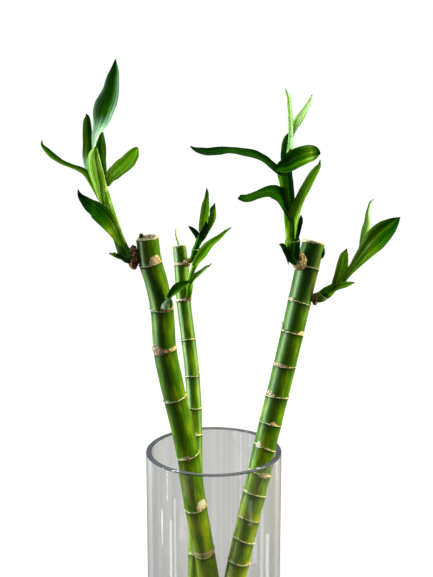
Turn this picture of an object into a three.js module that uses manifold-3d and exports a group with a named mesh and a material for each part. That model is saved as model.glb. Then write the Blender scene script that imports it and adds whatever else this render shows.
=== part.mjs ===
// A lucky bamboo in its vase. Three cut canes lean against the rim of a clear glass cylinder with
// shallow water in it. Buds near the tops of the canes have grown into short leafy shoots, each
// from a corky collar on its cane.
// Lengths are millimetres and +Z is up. The origin is the centre of the vase's underside, and the
// plant's front looks along -Y, with its left at -X.

import * as THREE from "three";
import { mergeVertices } from "three/addons/utils/BufferGeometryUtils.js";
import Module from "manifold-3d";

const wasm = await Module();
wasm.setup();

// Clearance between pieces that touch on the real plant
const GAP = 0.3;

// Vase: a straight cylinder with a fire-polished rim and a thick base
const VASE_RADIUS = 50;
const VASE_HEIGHT = 200;
const WALL = 4;
const BASE_THICKNESS = 9;
const FOOT_ROUND = 4;
const FLOOR_ROUND = 6;
const VASE_SIDES = 40;
const ROUND_STEPS = 4;
const INNER_RADIUS = VASE_RADIUS - WALL;

// Water: shallow, below the lowest part of the canes that shows from the front
const WATER_LEVEL = 62;

// Canes: the axis runs up from the cut foot, the radii are spread evenly along it, and each ring
// is the scar of a fallen leaf at that height
const RING_SWELL = 0.45;
const RING_HALF_HEIGHT = 1.7;
const RING_FLAT = 0.45;
const CUT_BEVEL = 0.6;
const CUT_DISH = 0.8;
const CANES = {
  left: {
    axis: [
      [8.5, 8.5, 11.2],
      [-3.6, -12.5, 104.6],
      [-12.3, -25.8, 165],
      [-18.6, -35.4, 213],
      [-28.5, -43.4, 266],
      [-32, -46.6, 287.5],
      [-33.4, -51, 315],
      [-36.5, -53.5, 333.5],
      [-40.2, -55.8, 348],
      [-42, -58.5, 365],
    ],
    radii: [7.2, 7.4, 7.8, 7.8, 7.6, 7.4, 7.2, 7.1, 7.1, 6.9],
    rings: [32, 64, 96, 127, 164, 207.5, 251, 288, 316.5, 346],
    sides: 11,
  },
  back: {
    axis: [
      [-16.2, 10.6, 10.4],
      [-14.8, 24.4, 103],
      [-14.8, 36.3, 199],
      [-16.8, 42, 244],
      [-20, 45.7, 273.5],
      [-24.8, 52.7, 330],
      [-26.4, 54.5, 345],
    ],
    radii: [5.7, 5.7, 5.6, 5.6, 5.5, 5.4, 4.9],
    rings: [28, 53, 78, 103.5, 136, 168, 199, 218.5, 243.5, 272.5, 303, 330.5],
    sides: 10,
  },
  right: {
    axis: [
      [-2.6, -26.7, 10.9],
      [17, -18.9, 108],
      [33.9, -12.3, 190],
      [52, -5.9, 270],
      [65.4, -1, 331],
      [70.4, 0.9, 355],
    ],
    radii: [7.9, 7.9, 8.1, 8, 7.8, 7.3],
    rings: [26, 43, 61, 80, 99, 118, 133.5, 150.5, 170, 187, 204.5, 222.5, 244, 266, 290, 312, 336],
    sides: 11,
  },
};

// Side buds and a dry spike, which are part of the cane they sit on
const BUDS = {
  right: [
    { centre: [49.6, -7.4, 291.5], size: [2.2, 2.4, 3] },
    { centre: [75.8, -2, 347.5], size: [2, 2.2, 3.4] },
  ],
};
const SPIKE = {
  path: [
    [-26.8, 56.4, 341],
    [-28, 57, 350],
    [-29.5, 57, 358],
  ],
  radii: [1.9, 1.4, 0.6],
};

// Collars: the corky swelling where a shoot leaves its cane
const COLLARS = {
  left_top: { cane: "left", centre: [-51.2, -58, 351], size: [4.8, 4.8, 6.6] },
  left_bud: { cane: "left", centre: [-31.4, -57, 317.4], size: [3.9, 3.6, 3.4] },
  back_top: { cane: "back", centre: [-20.9, 49, 332.4], size: [3, 3, 3.4] },
  back_low: { cane: "back", centre: [-19.8, 45.6, 305.4], size: [2.8, 2.8, 2.8] },
  right_top: { cane: "right", centre: [61.2, -5, 343], size: [5.4, 5, 6.8] },
  right_side: { cane: "right", centre: [71.2, -4, 314], size: [4.4, 4.2, 4.8] },
};
const COLLAR_KNOBS = 0.09;
const KNOBS_ACROSS = 4;
const KNOBS_ALONG = 5;
const LUMP_SIDES = 12;
const LUMP_ROWS = 8;

// Leaves: a blade follows its spine from the stem to the tip. Its shape is its greatest width,
// how far along that comes, and the share of the width that its neck has. face is the way its
// upper side looks, and fold is how far each half is lifted from flat, in degrees.
const BLADE_THICKNESS = 0.8;
const BLADE_STATIONS = 9;
const BLADE_ACROSS = [-1, 0, 1];
const BLADE_TAPER = 1.8;
const TIP_HALF_WIDTH = 0.45;
const STEM_SIDES = 10;
const STEM_STEPS = 2;

// Shoots: a short stem wrapped in leaf bases, with its leaves
const SHOOTS = {
  left_top: {
    stem: {
      path: [
        [-52.5, -58.5, 351.5],
        [-56, -59, 353.5],
        [-60, -60, 363],
        [-65.5, -61, 382.5],
        [-69, -61, 397],
        [-72.5, -61, 412.5],
        [-74, -60, 421],
      ],
      radii: [3, 4.4, 3.6, 2.7, 2.8, 2.2, 1.4],
    },
    blades: [
      {
        spine: [[-55.4, -60, 353.6], [-59.6, -63, 351.6], [-64, -64, 354.4]],
        shape: [6, 0.4, 0.5], face: [0.4, 0, 0.9], fold: 30,
      },
      {
        spine: [[-61, -60.5, 365], [-67.5, -65, 375.5], [-74, -71, 383.5], [-82.5, -79, 396.5]],
        shape: [12.5, 0.42, 0.4], face: [0.4, 0.6, 0.7], fold: 16,
      },
      {
        spine: [
          [-70.5, -61, 388], [-76, -60, 400], [-82, -58, 406.5],
          [-93.5, -55, 411], [-104, -52, 417], [-109, -50, 425.5],
        ],
        shape: [12, 0.5, 0.36], face: [0.35, -0.2, 0.92], fold: 8,
      },
      {
        spine: [[-70, -61.6, 388], [-72.5, -67, 398.5], [-73, -73, 409], [-71, -79, 422.5]],
        shape: [11.5, 0.45, 0.36], face: [0.3, 0.9, 0.35], fold: 22,
      },
      {
        spine: [[-72.5, -60, 405], [-77, -56, 415], [-79, -51, 429], [-81.5, -45, 442.5]],
        shape: [9, 0.5, 0.5], face: [0.8, -0.6, 0.1], fold: 16,
      },
      {
        spine: [
          [-73.6, -60.4, 417], [-71.5, -60, 431.5], [-68.5, -59, 442],
          [-65.5, -57, 453], [-62.5, -55, 463.5], [-60.5, -53, 476],
        ],
        shape: [15, 0.48, 0.24], face: [0.2, -0.95, 0.1], fold: 12,
      },
      {
        spine: [[-69, -59.6, 398.5], [-69.5, -55, 410], [-70, -52, 419], [-71, -50, 428]],
        shape: [8, 0.5, 0.5], face: [-0.3, -0.9, 0.2], fold: 20,
      },
      {
        spine: [[-67.6, -60.5, 396.5], [-62, -55, 404.5], [-56, -49, 413], [-48.5, -43, 422]],
        shape: [12, 0.55, 0.36], face: [-0.5, -0.65, 0.55], fold: 10,
      },
    ],
  },
  left_bud: {
    stem: {
      path: [
        [-31, -58.2, 318],
        [-30.4, -59, 321],
        [-29, -59.6, 323.6],
        [-28, -60, 325.2],
      ],
      radii: [2.6, 3.3, 2.2, 1],
    },
    blades: [
      {
        spine: [[-29.6, -59.2, 321], [-23, -62, 327], [-18.6, -65, 332.5], [-14.6, -68, 338]],
        shape: [9, 0.5, 0.4], face: [-0.5, -0.5, 0.7], fold: 16,
      },
    ],
  },
  back_top: {
    stem: {
      path: [
        [-19.6, 48.3, 333.4],
        [-16.6, 47.2, 339],
        [-14.2, 47, 346],
        [-11.3, 47, 354],
        [-8.6, 47, 359.5],
      ],
      radii: [1.9, 2, 3, 2.1, 1.6],
    },
    blades: [
      {
        spine: [[-13, 47, 347], [-16, 48.4, 353], [-19.4, 50, 360.3]],
        shape: [5.5, 0.45, 0.5], face: [0.5, -0.8, 0.3], fold: 25,
      },
      {
        spine: [[-8, 47, 358], [-5, 46.6, 366], [-4.4, 46.6, 376], [-5.5, 48, 389.5]],
        shape: [8.5, 0.5, 0.4], face: [-0.6, -0.8, 0.1], fold: 20,
      },
      {
        spine: [[-6.8, 46.2, 356.5], [-1, 43.6, 366.5], [0.5, 41, 378]],
        shape: [7.5, 0.5, 0.4], face: [-0.75, -0.65, 0.1], fold: 20,
      },
      {
        spine: [[-10.6, 47.6, 355], [-9.8, 49, 363], [-9, 50, 370.3]],
        shape: [4.5, 0.42, 0.4], face: [0.2, -0.95, 0.1], fold: 24,
      },
      {
        spine: [[-10.6, 46, 353.5], [-8.6, 43.4, 360], [-6.6, 41.4, 366]],
        shape: [7, 0.42, 0.5], face: [0, -0.95, 0.2], fold: 20,
      },
    ],
  },
  back_low: {
    stem: {
      path: [
        [-18.9, 44.6, 306.4],
        [-17.8, 43.2, 312],
        [-16, 42, 320],
        [-14, 41.2, 328],
      ],
      radii: [1.9, 2.2, 2, 1.5],
    },
    blades: [
      {
        spine: [[-16, 42, 320], [-12.6, 41, 330], [-5.6, 40, 341], [4, 38, 351.5], [13, 36, 360.5]],
        shape: [8.5, 0.45, 0.4], face: [-0.7, -0.5, 0.5], fold: 14,
      },
      {
        spine: [[-17.4, 42.6, 315], [-12, 40, 323], [-6.5, 38.5, 329], [-2, 37, 333.5]],
        shape: [6.5, 0.45, 0.5], face: [-0.6, -0.5, 0.6], fold: 20,
      },
    ],
  },
  right_top: {
    stem: {
      path: [
        [60, -6.4, 342],
        [56.8, -9, 344.6],
        [55.3, -10, 354],
        [54.3, -11, 367.5],
        [52.3, -11, 381.5],
        [50.2, -11, 392.5],
        [49, -9.6, 404],
        [50.4, -9, 411],
        [52, -8, 420],
      ],
      radii: [3.6, 5, 4.7, 3.6, 3.1, 4.6, 4.8, 2.2, 1.4],
    },
    blades: [
      {
        spine: [[56, -10.4, 345], [50, -13.6, 346], [45.1, -16, 354.3]],
        shape: [8, 0.4, 0.5], face: [0.6, 0, 0.7], fold: 30,
      },
      {
        spine: [[54.5, -12, 361], [56.5, -17, 375], [61.5, -21, 385.5], [67, -26, 398], [70, -30, 413]],
        shape: [12.5, 0.5, 0.42], face: [-0.8, 0.5, 0.35], fold: 14,
      },
      {
        spine: [[56, -9.4, 357], [60, -7.4, 365], [61, -4, 374.5]],
        shape: [6, 0.5, 0.5], face: [-0.4, -0.8, 0.2], fold: 20,
      },
      {
        spine: [
          [52.6, -12, 371], [47.5, -16.5, 384], [41, -20, 390],
          [32.5, -24, 389.5], [24, -28, 387], [16.5, -32, 388],
        ],
        shape: [11.5, 0.5, 0.4], face: [0.1, -0.3, 0.95], fold: 8,
      },
      {
        spine: [
          [47, -11, 395], [41.8, -10.5, 405], [33, -9.5, 412],
          [20, -7, 416.5], [6, -2.5, 417.5], [-6.5, 2, 417.5], [-16.5, 6, 421.5],
        ],
        shape: [13, 0.55, 0.4], face: [0.2, -0.3, 0.93], fold: 6,
      },
      {
        spine: [
          [46, -11, 401.5], [52, -15.5, 408.5], [60, -20.5, 413.5],
          [66, -25, 417], [68, -29, 416.5],
        ],
        shape: [15, 0.6, 0.42], face: [-0.35, -0.65, 0.65], fold: 10,
      },
      {
        spine: [[50.5, -9, 408], [53, -7, 419], [53.2, -5, 433.5], [52.6, -1.5, 447], [49, 3, 460.5]],
        shape: [3.4, 0.5, 0.8], face: [-0.2, -0.95, 0.1], fold: 10,
      },
      {
        spine: [[51.5, -8.4, 412], [52.8, -6, 424.5], [58.6, -2.5, 436.5], [64, 1.5, 446], [67.5, 5, 456]],
        shape: [4.6, 0.6, 0.45], face: [-0.3, -0.9, 0.3], fold: 14,
      },
      {
        spine: [[48.6, -8, 405], [49, -5, 417.5], [51.5, 0, 430.5]],
        shape: [8, 0.45, 0.5], face: [0.2, -0.95, 0.2], fold: 18,
      },
    ],
  },
  right_side: {
    stem: {
      path: [
        [72.6, -4, 314],
        [75.6, -4.2, 315.4],
        [80.5, -5, 319],
        [86.5, -5.5, 324],
      ],
      radii: [2.8, 3.6, 4.2, 2.6],
    },
    blades: [
      {
        spine: [[81, -5.4, 318.6], [87.5, -9.5, 321.5], [93, -14, 325], [97.5, -18, 328.5]],
        shape: [9.5, 0.45, 0.5], face: [-0.3, -0.5, 0.85], fold: 16,
      },
      {
        spine: [[84.6, -4.8, 321.5], [90, -2, 329.5], [93.4, 2, 338.5], [95, 6, 349]],
        shape: [9.5, 0.52, 0.42], face: [-0.4, -0.85, 0.3], fold: 12,
      },
      {
        spine: [
          [86, -6, 322.5], [93, -9, 332], [100, -13, 342.5],
          [110.5, -18, 356.5], [120, -22, 367.5], [126, -25, 374.5],
        ],
        shape: [16, 0.68, 0.3], face: [-0.45, -0.85, 0.25], fold: 8,
      },
      {
        spine: [[87, -5, 323], [100.5, -3, 339], [107, 0.5, 353.5], [109.5, 5, 369.5], [114, 9, 384]],
        shape: [6, 0.66, 0.5], face: [-0.6, -0.75, 0.2], fold: 14,
      },
    ],
  },
};

// Finishes
const FINISHES = {
  vase: { color: 0xcfd6d2, roughness: 0.05, metalness: 0 },
  water: { color: 0xc9dbd6, roughness: 0.05, metalness: 0 },
  cane: { color: 0x5c8f22, roughness: 0.35, metalness: 0 },
  collar: { color: 0xa4764a, roughness: 0.9, metalness: 0 },
  leaf: { color: 0x2f6b1c, roughness: 0.4, metalness: 0 },
};

// Vectors and curves. Rings of points start from the front, and a height is found by halving.
const FRONT = new THREE.Vector3(0, -1, 0);
const HALVINGS = 30;
const vector = (point) => new THREE.Vector3(...point);
const curveThrough = (points) => new THREE.CatmullRomCurve3(points.map(vector), false, "catmullrom");

// The value at t, from 0 to 1, of a list whose entries are spread evenly
function spread(list, t) {
  const place = t * (list.length - 1);
  const index = Math.min(Math.floor(place), list.length - 2);
  return THREE.MathUtils.lerp(list[index], list[index + 1], place - index);
}

// A closed skin over a row of rings with equally many points each, and a fan at either end.
// In a sheet, the second half of each ring is the underside, and its quads are split as on top.
function loft(rings, isSheet = false) {
  const count = rings[0].length;
  const points = rings.flat();
  const faces = [];
  for (let row = 0; row < rings.length - 1; row++) {
    for (let side = 0; side < count; side++) {
      const a = row * count + side;
      const b = row * count + ((side + 1) % count);
      const c = b + count;
      const d = a + count;
      if (isSheet && side >= count / 2) faces.push(a, b, d, b, c, d);
      else faces.push(a, b, c, a, c, d);
    }
  }
  const middle = (ring) => ring.reduce((sum, p) => sum.add(p), new THREE.Vector3()).divideScalar(count);
  const first = points.push(middle(rings[0])) - 1;
  const last = points.push(middle(rings.at(-1))) - 1;
  const lastRow = (rings.length - 1) * count;
  for (let side = 0; side < count; side++) {
    const next = (side + 1) % count;
    faces.push(first, next, side, last, lastRow + side, lastRow + next);
  }
  const geometry = new THREE.BufferGeometry().setFromPoints(points);
  geometry.setIndex(faces);
  return geometry;
}

// A ring of points round a centre, square to a direction
function circle(centre, direction, radius, sides) {
  const across = new THREE.Vector3().crossVectors(direction, FRONT).normalize();
  const along = new THREE.Vector3().crossVectors(direction, across).normalize();
  return Array.from({ length: sides }, (_, side) => {
    const angle = (2 * Math.PI * side) / sides;
    return centre
      .clone()
      .addScaledVector(across, radius * Math.cos(angle))
      .addScaledVector(along, radius * Math.sin(angle));
  });
}

// Solids, for joining and cutting, and geometry made from them
function solidOf(geometry) {
  const bare = geometry.clone();
  bare.deleteAttribute("normal");
  bare.deleteAttribute("uv");
  const merged = mergeVertices(bare);
  const vertProperties = merged.getAttribute("position").array;
  const triVerts = new Uint32Array(merged.index.array);
  return new wasm.Manifold(new wasm.Mesh({ numProp: 3, vertProperties, triVerts }));
}

function geometryOf(solid) {
  const mesh = solid.getMesh();
  const geometry = new THREE.BufferGeometry();
  geometry.setAttribute("position", new THREE.BufferAttribute(mesh.vertProperties, 3));
  geometry.setIndex(new THREE.BufferAttribute(mesh.triVerts, 1));
  geometry.computeVertexNormals();
  return geometry;
}

const joined = (solids) => solids.reduce((whole, solid) => whole.add(solid));

// The vase and the water are turned about the Z axis from an outline of radius and height
function turned(outline) {
  const points = outline.map(([radius, height]) => new THREE.Vector2(radius, height));
  return solidOf(new THREE.LatheGeometry(points, VASE_SIDES).rotateX(Math.PI / 2));
}

// Points of an arc in an outline, from one angle to another in quarter turns
function arc(x, y, radius, from, to) {
  return Array.from({ length: ROUND_STEPS + 1 }, (_, step) => {
    const angle = ((from + ((to - from) * step) / ROUND_STEPS) * Math.PI) / 2;
    return [x + radius * Math.cos(angle), y + radius * Math.sin(angle)];
  });
}

function vaseSolid() {
  const lip = WALL / 2;
  return turned([
    [0, 0],
    ...arc(VASE_RADIUS - FOOT_ROUND, FOOT_ROUND, FOOT_ROUND, -1, 0),
    ...arc(VASE_RADIUS - lip, VASE_HEIGHT - lip, lip, 0, 2),
    ...arc(INNER_RADIUS - FLOOR_ROUND, BASE_THICKNESS + FLOOR_ROUND, FLOOR_ROUND, 0, -1),
    [0, BASE_THICKNESS],
  ]);
}

function waterSolid() {
  const radius = INNER_RADIUS - GAP;
  const floor = BASE_THICKNESS + GAP;
  const body = turned([
    [0, floor],
    ...arc(radius - FLOOR_ROUND, floor + FLOOR_ROUND, FLOOR_ROUND, -1, 0),
    [radius, WATER_LEVEL],
    [0, WATER_LEVEL],
  ]);
  return Object.values(CANES).reduce((water, cane) => water.subtract(holeFor(cane)), body);
}

// A plain hole in the water for a cane to stand in
function holeFor({ axis, radii, sides }) {
  const curve = curveThrough(axis);
  const foot = curve.getPoint(0);
  const below = foot.clone().addScaledVector(curve.getTangent(0), -BASE_THICKNESS);
  const above = curve.getPoint(1 / (axis.length - 1));
  const radius = radii[0] + RING_SWELL + 2 * GAP;
  const rings = [below, foot, above].map((centre) => circle(centre, curve.getTangent(0), radius, sides));
  return solidOf(loft(rings));
}

// Where a rising curve reaches a height
function atHeight(curve, height) {
  let low = 0;
  let high = 1;
  for (let step = 0; step < HALVINGS; step++) {
    const middle = (low + high) / 2;
    if (curve.getPoint(middle).z < height) low = middle;
    else high = middle;
  }
  return low;
}

// A cane: [height, change of radius] stations with a ridge at each ring. extra makes it fatter all
// over, to cut room for it in a neighbour.
function caneSolid({ axis, radii, rings, sides }, extra = 0) {
  const curve = curveThrough(axis);
  const foot = axis[0][2];
  const top = axis.at(-1)[2];
  const stations = [[foot, -CUT_BEVEL], [foot + CUT_BEVEL, 0]];
  for (const ring of rings) {
    stations.push([ring - RING_HALF_HEIGHT, 0], [ring - RING_FLAT, RING_SWELL]);
    stations.push([ring + RING_FLAT, RING_SWELL], [ring + RING_HALF_HEIGHT, 0]);
  }
  stations.push([top - CUT_BEVEL, 0], [top, -CUT_BEVEL]);
  const skin = stations.map(([height, change]) => {
    const t = atHeight(curve, height);
    const radius = spread(radii, t) + change + extra;
    return circle(curve.getPoint(t), curve.getTangent(t), radius, sides);
  });
  const dish = curve.getPoint(1).addScaledVector(curve.getTangent(1), -CUT_DISH);
  skin.push(circle(dish, curve.getTangent(1), radii.at(-1) / 2, sides));
  return solidOf(loft(skin));
}

// A lump of plant tissue: a ball stretched to size, with knobs of a share of its size
function lumpSolid({ centre, size }, knobs = 0, extra = 0) {
  const ball = new THREE.SphereGeometry(1, LUMP_SIDES, LUMP_ROWS);
  const position = ball.getAttribute("position");
  const point = new THREE.Vector3();
  for (let index = 0; index < position.count; index++) {
    point.fromBufferAttribute(position, index);
    const bump =
      Math.sin(KNOBS_ACROSS * point.x + 1) *
      Math.cos(KNOBS_ALONG * point.y) *
      Math.sin(KNOBS_ACROSS * point.z + 2);
    point.multiplyScalar(1 + knobs * bump);
    position.setXYZ(index, point.x, point.y, point.z);
  }
  const [x, y, z] = size.map((half) => half + extra);
  return solidOf(ball.scale(x, y, z).translate(...centre));
}

function collarSolid({ cane, centre, size }) {
  return lumpSolid({ centre, size }, COLLAR_KNOBS).subtract(caneSolid(CANES[cane], GAP));
}

// A stem whose radius changes along its path
function stemSolid({ path, radii }) {
  const curve = curveThrough(path);
  const steps = STEM_STEPS * (path.length - 1);
  const rings = Array.from({ length: steps + 1 }, (_, step) => {
    const t = step / steps;
    return circle(curve.getPoint(t), curve.getTangent(t), spread(radii, t), STEM_SIDES);
  });
  return solidOf(loft(rings));
}

// Half the width of a blade at t along its spine
function halfWidth([width, belly, neck], t) {
  const share =
    t < belly
      ? neck + ((1 - neck) * (1 - Math.cos((Math.PI * t) / belly))) / 2
      : 1 - ((t - belly) / (1 - belly)) ** BLADE_TAPER;
  return Math.max((width / 2) * share, TIP_HALF_WIDTH);
}

// A leaf blade: a thin sheet folded along its spine, which narrows to a neck and to a tip
function bladeSolid({ spine, shape, face, fold }) {
  const curve = curveThrough(spine);
  const upper = vector(face);
  const lift = THREE.MathUtils.degToRad(fold);
  const rings = Array.from({ length: BLADE_STATIONS }, (_, station) => {
    const t = station / (BLADE_STATIONS - 1);
    const half = halfWidth(shape, t);
    const along = curve.getTangent(t);
    const sideways = new THREE.Vector3().crossVectors(along, upper).normalize();
    const outward = new THREE.Vector3().crossVectors(sideways, along);
    const top = BLADE_ACROSS.map((share) =>
      curve
        .getPoint(t)
        .addScaledVector(sideways, share * half * Math.cos(lift))
        .addScaledVector(outward, Math.abs(share) * half * Math.sin(lift)),
    );
    const under = top.map((p) => p.clone().addScaledVector(outward, -BLADE_THICKNESS));
    return [...top, ...under.reverse()];
  });
  return solidOf(loft(rings, true));
}

function shootSolid({ stem, blades }, collar) {
  const room = lumpSolid(collar, COLLAR_KNOBS, GAP).add(caneSolid(CANES[collar.cane], GAP));
  return joined([stemSolid(stem), ...blades.map(bladeSolid)]).subtract(room);
}

// The plant
const plant = new THREE.Group();

function addPiece(name, solid, finish) {
  const mesh = new THREE.Mesh(geometryOf(solid), new THREE.MeshStandardMaterial(FINISHES[finish]));
  mesh.name = name;
  plant.add(mesh);
}

addPiece("vase", vaseSolid(), "vase");
addPiece("water", waterSolid(), "water");

const growths = {
  left: [],
  back: [stemSolid(SPIKE)],
  right: BUDS.right.map((bud) => lumpSolid(bud)),
};
for (const [side, cane] of Object.entries(CANES)) {
  addPiece(`cane_${side}`, joined([caneSolid(cane), ...growths[side]]), "cane");
}
for (const [place, collar] of Object.entries(COLLARS)) {
  addPiece(`collar_${place}`, collarSolid(collar), "collar");
  addPiece(`shoot_${place}`, shootSolid(SHOOTS[place], collar), "leaf");
}

export default plant;
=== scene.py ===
# %% [markdown]
# # A lucky bamboo in a glass vase
# The packed model gives every piece its place and its size. It comes in as a fixed frame, and each
# step below lays a finer piece over one of its solids. Lengths on the plant and its vase are
# millimetres, as on a ruler beside them, and MM turns them into the metres that Blender counts in.
# The camera, the floor and the lamps are placed in metres.

import math

import bpy
import numpy as np
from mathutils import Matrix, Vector, noise


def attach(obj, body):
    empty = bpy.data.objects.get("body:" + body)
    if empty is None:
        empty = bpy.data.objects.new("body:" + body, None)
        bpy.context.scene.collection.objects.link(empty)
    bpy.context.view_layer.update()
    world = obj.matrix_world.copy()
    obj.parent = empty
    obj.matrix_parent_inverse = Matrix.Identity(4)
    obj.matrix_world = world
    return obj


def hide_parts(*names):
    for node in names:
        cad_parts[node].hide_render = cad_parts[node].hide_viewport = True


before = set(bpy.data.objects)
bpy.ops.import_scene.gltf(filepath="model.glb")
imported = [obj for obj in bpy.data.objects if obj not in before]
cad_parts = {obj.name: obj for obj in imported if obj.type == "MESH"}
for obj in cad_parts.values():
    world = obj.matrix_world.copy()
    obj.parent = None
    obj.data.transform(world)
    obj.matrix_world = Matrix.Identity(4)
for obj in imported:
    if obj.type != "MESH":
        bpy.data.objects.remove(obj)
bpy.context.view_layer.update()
MM = 0.001
BODY = "root"
print("nodes in the frame:", len(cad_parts))

# %% [markdown]
# ## The view
# The photograph looks slightly down on the rim of the vase, so that its mouth shows as a flat
# ellipse. How flat the ellipse is gives the camera's pitch, how wide it is gives the distance, and
# how fast the glass walls draw together below it gives the lens. A camera placed that way needs no
# shift.

# %% Camera
camera_data = bpy.data.cameras.new("view")
camera_data.lens = 54
camera_data.sensor_width = 36
camera_data.clip_end = 200
camera = bpy.data.objects.new("view", camera_data)
camera.location = (0.002, -0.609, 0.431)
camera.rotation_euler = (math.radians(79.75), 0, 0)
bpy.context.scene.collection.objects.link(camera)
bpy.context.scene.camera = camera
print("camera at", tuple(round(v, 3) for v in camera.location))

# %% [markdown]
# ## Curves and skins
# Canes, stems and leaves are all long things that follow a line. Each can be made by sweeping a
# section along a smooth curve through a few points. The curve here passes through every point,
# which makes the tables easy to set. A skin is a row of closed rings joined by quads, and marks
# are numbers kept on its points, such as how near a ring scar is, which the materials read later.


# %% Points along a smooth curve
def points_on(line, steps):
    """Points on the curve, at steps from 0, its start, to 1, its end."""
    line = np.array(line, float)
    before = 2 * line[0] - line[1]
    after = 2 * line[-1] - line[-2]
    padded = np.vstack([before, line, after])
    place = np.asarray(steps, float) * (len(line) - 1)
    index = np.clip(place.astype(int), 0, len(line) - 2)
    part = (place - index)[:, None]
    a, b, c, d = (padded[index + shift] for shift in range(4))
    slope_b, slope_c = (c - a) / 2, (d - b) / 2
    return (
        (2 * part**3 - 3 * part**2 + 1) * b
        + (part**3 - 2 * part**2 + part) * slope_b
        + (3 * part**2 - 2 * part**3) * c
        + (part**3 - part**2) * slope_c
    )


def unit(rows):
    return rows / np.maximum(np.linalg.norm(rows, axis=-1, keepdims=True), 1e-9)


def directions_on(line, steps):
    """Which way the curve runs at each step, from a point just behind to one just ahead."""
    small = 1e-4
    steps = np.asarray(steps, float)
    ahead = points_on(line, np.clip(steps + small, 0, 1))
    return unit(ahead - points_on(line, np.clip(steps - small, 0, 1)))


def spread(values, steps):
    """Values set at even distances along a line, read at steps from 0 to 1."""
    return np.interp(steps, np.linspace(0, 1, len(values)), values)


def smooth(low, high, value):
    """0 below low and 1 above high, with a soft bend at both ends."""
    part = np.clip((value - low) / (high - low), 0, 1)
    return part * part * (3 - 2 * part)


print("a curve's middle:", points_on([(0, 0, 0), (1, 0, 1), (2, 0, 4)], [0.5])[0])


# %% A closed skin of rings, and a piece made of skins
def skin(rings, **marks):
    """rings holds rows, points round each row, and their x, y, z. Both ends are closed."""
    rows, count, _ = rings.shape
    index = np.arange(rows * count).reshape(rows, count)
    a, b = index[:-1], np.roll(index[:-1], -1, axis=1)
    d, c = index[1:], np.roll(index[1:], -1, axis=1)
    faces = np.stack([a, b, c, d], axis=-1).reshape(-1, 4).tolist()
    faces += [index[0][::-1].tolist(), index[-1].tolist()]
    held = {}
    for name, value in marks.items():
        value = np.asarray(value, float)
        wide = (rows, count, 3) if name == "grain" else (rows, count)
        held[name] = np.broadcast_to(value, wide).reshape(rows * count, -1)
    return rings.reshape(-1, 3), faces, held


def make_piece(name, skins, sharp=50):
    names = sorted({mark for _, _, marks in skins for mark in marks})
    points, faces, held = [], [], {mark: [] for mark in names}
    for skin_points, skin_faces, marks in skins:
        first = sum(len(p) for p in points)
        points.append(skin_points)
        faces += [[first + corner for corner in face] for face in skin_faces]
        for mark in names:
            width = 3 if mark == "grain" else 1
            held[mark].append(marks.get(mark, np.zeros((len(skin_points), width))))
    mesh = bpy.data.meshes.new(name)
    mesh.from_pydata((np.vstack(points) * MM).tolist(), [], faces)
    for mark in names:
        kind = "FLOAT_VECTOR" if mark == "grain" else "FLOAT"
        field = "vector" if mark == "grain" else "value"
        values = np.vstack(held[mark]).astype(np.float32).ravel()
        mesh.attributes.new(mark, kind, "POINT").data.foreach_set(field, values)
    mesh.validate()
    mesh.shade_smooth()
    mesh.set_sharp_from_angle(angle=math.radians(sharp))
    piece = bpy.data.objects.new(name, mesh)
    bpy.context.scene.collection.objects.link(piece)
    print(name, "has", len(mesh.polygons), "faces")
    return piece


def place_piece(piece, material, node):
    """Finishes a piece and lets it stand for its node of the packed model."""
    piece.data.materials.append(material)
    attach(piece, BODY)
    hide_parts(node)


print("a skin of 3 rings of 4 points has", len(skin(np.zeros((3, 4, 3)))[1]), "faces")

# %% A frame of two directions square to a line
FRONT = np.array([0.0, -1.0, 0.0])


def square_to(along):
    right = unit(np.cross(along, FRONT))
    return right, unit(np.cross(along, right))


def rings_round(centres, along, radii, angles):
    """radii may differ from point to point round the ring. Angle 0 is right, and a quarter back."""
    right, back = square_to(along)
    radii = np.broadcast_to(np.asarray(radii, float), (len(centres), len(angles)))
    return (
        centres[:, None]
        + right[:, None] * (radii * np.cos(angles))[..., None]
        + back[:, None] * (radii * np.sin(angles))[..., None]
    )


def rough(points, scale, seed):
    """Smooth noise at each point, from about -1 to 1, with bumps of about scale millimetres."""
    flat = points.reshape(-1, 3) / scale + seed
    values = [noise.noise(Vector(point)) for point in flat]
    return np.array(values).reshape(points.shape[:-1]) * 2


print("noise at the origin:", round(rough(np.zeros((1, 3)), scale=1, seed=0.5)[0], 3))

# %% [markdown]
# ## A kit for materials
# A material is a small network of nodes. Writing out each node and link by hand hides the idea, so
# this kit adds a node with its settings in one line: ease turns a stretch of values into another
# with soft ends, a ramp turns a value into a colour, and sum, times and most do sums. Values that
# are the same all over a surface stay on the shader's own sockets. The last helper picks out the
# rays that have gone through glass, which the floor and the world need later.


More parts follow.
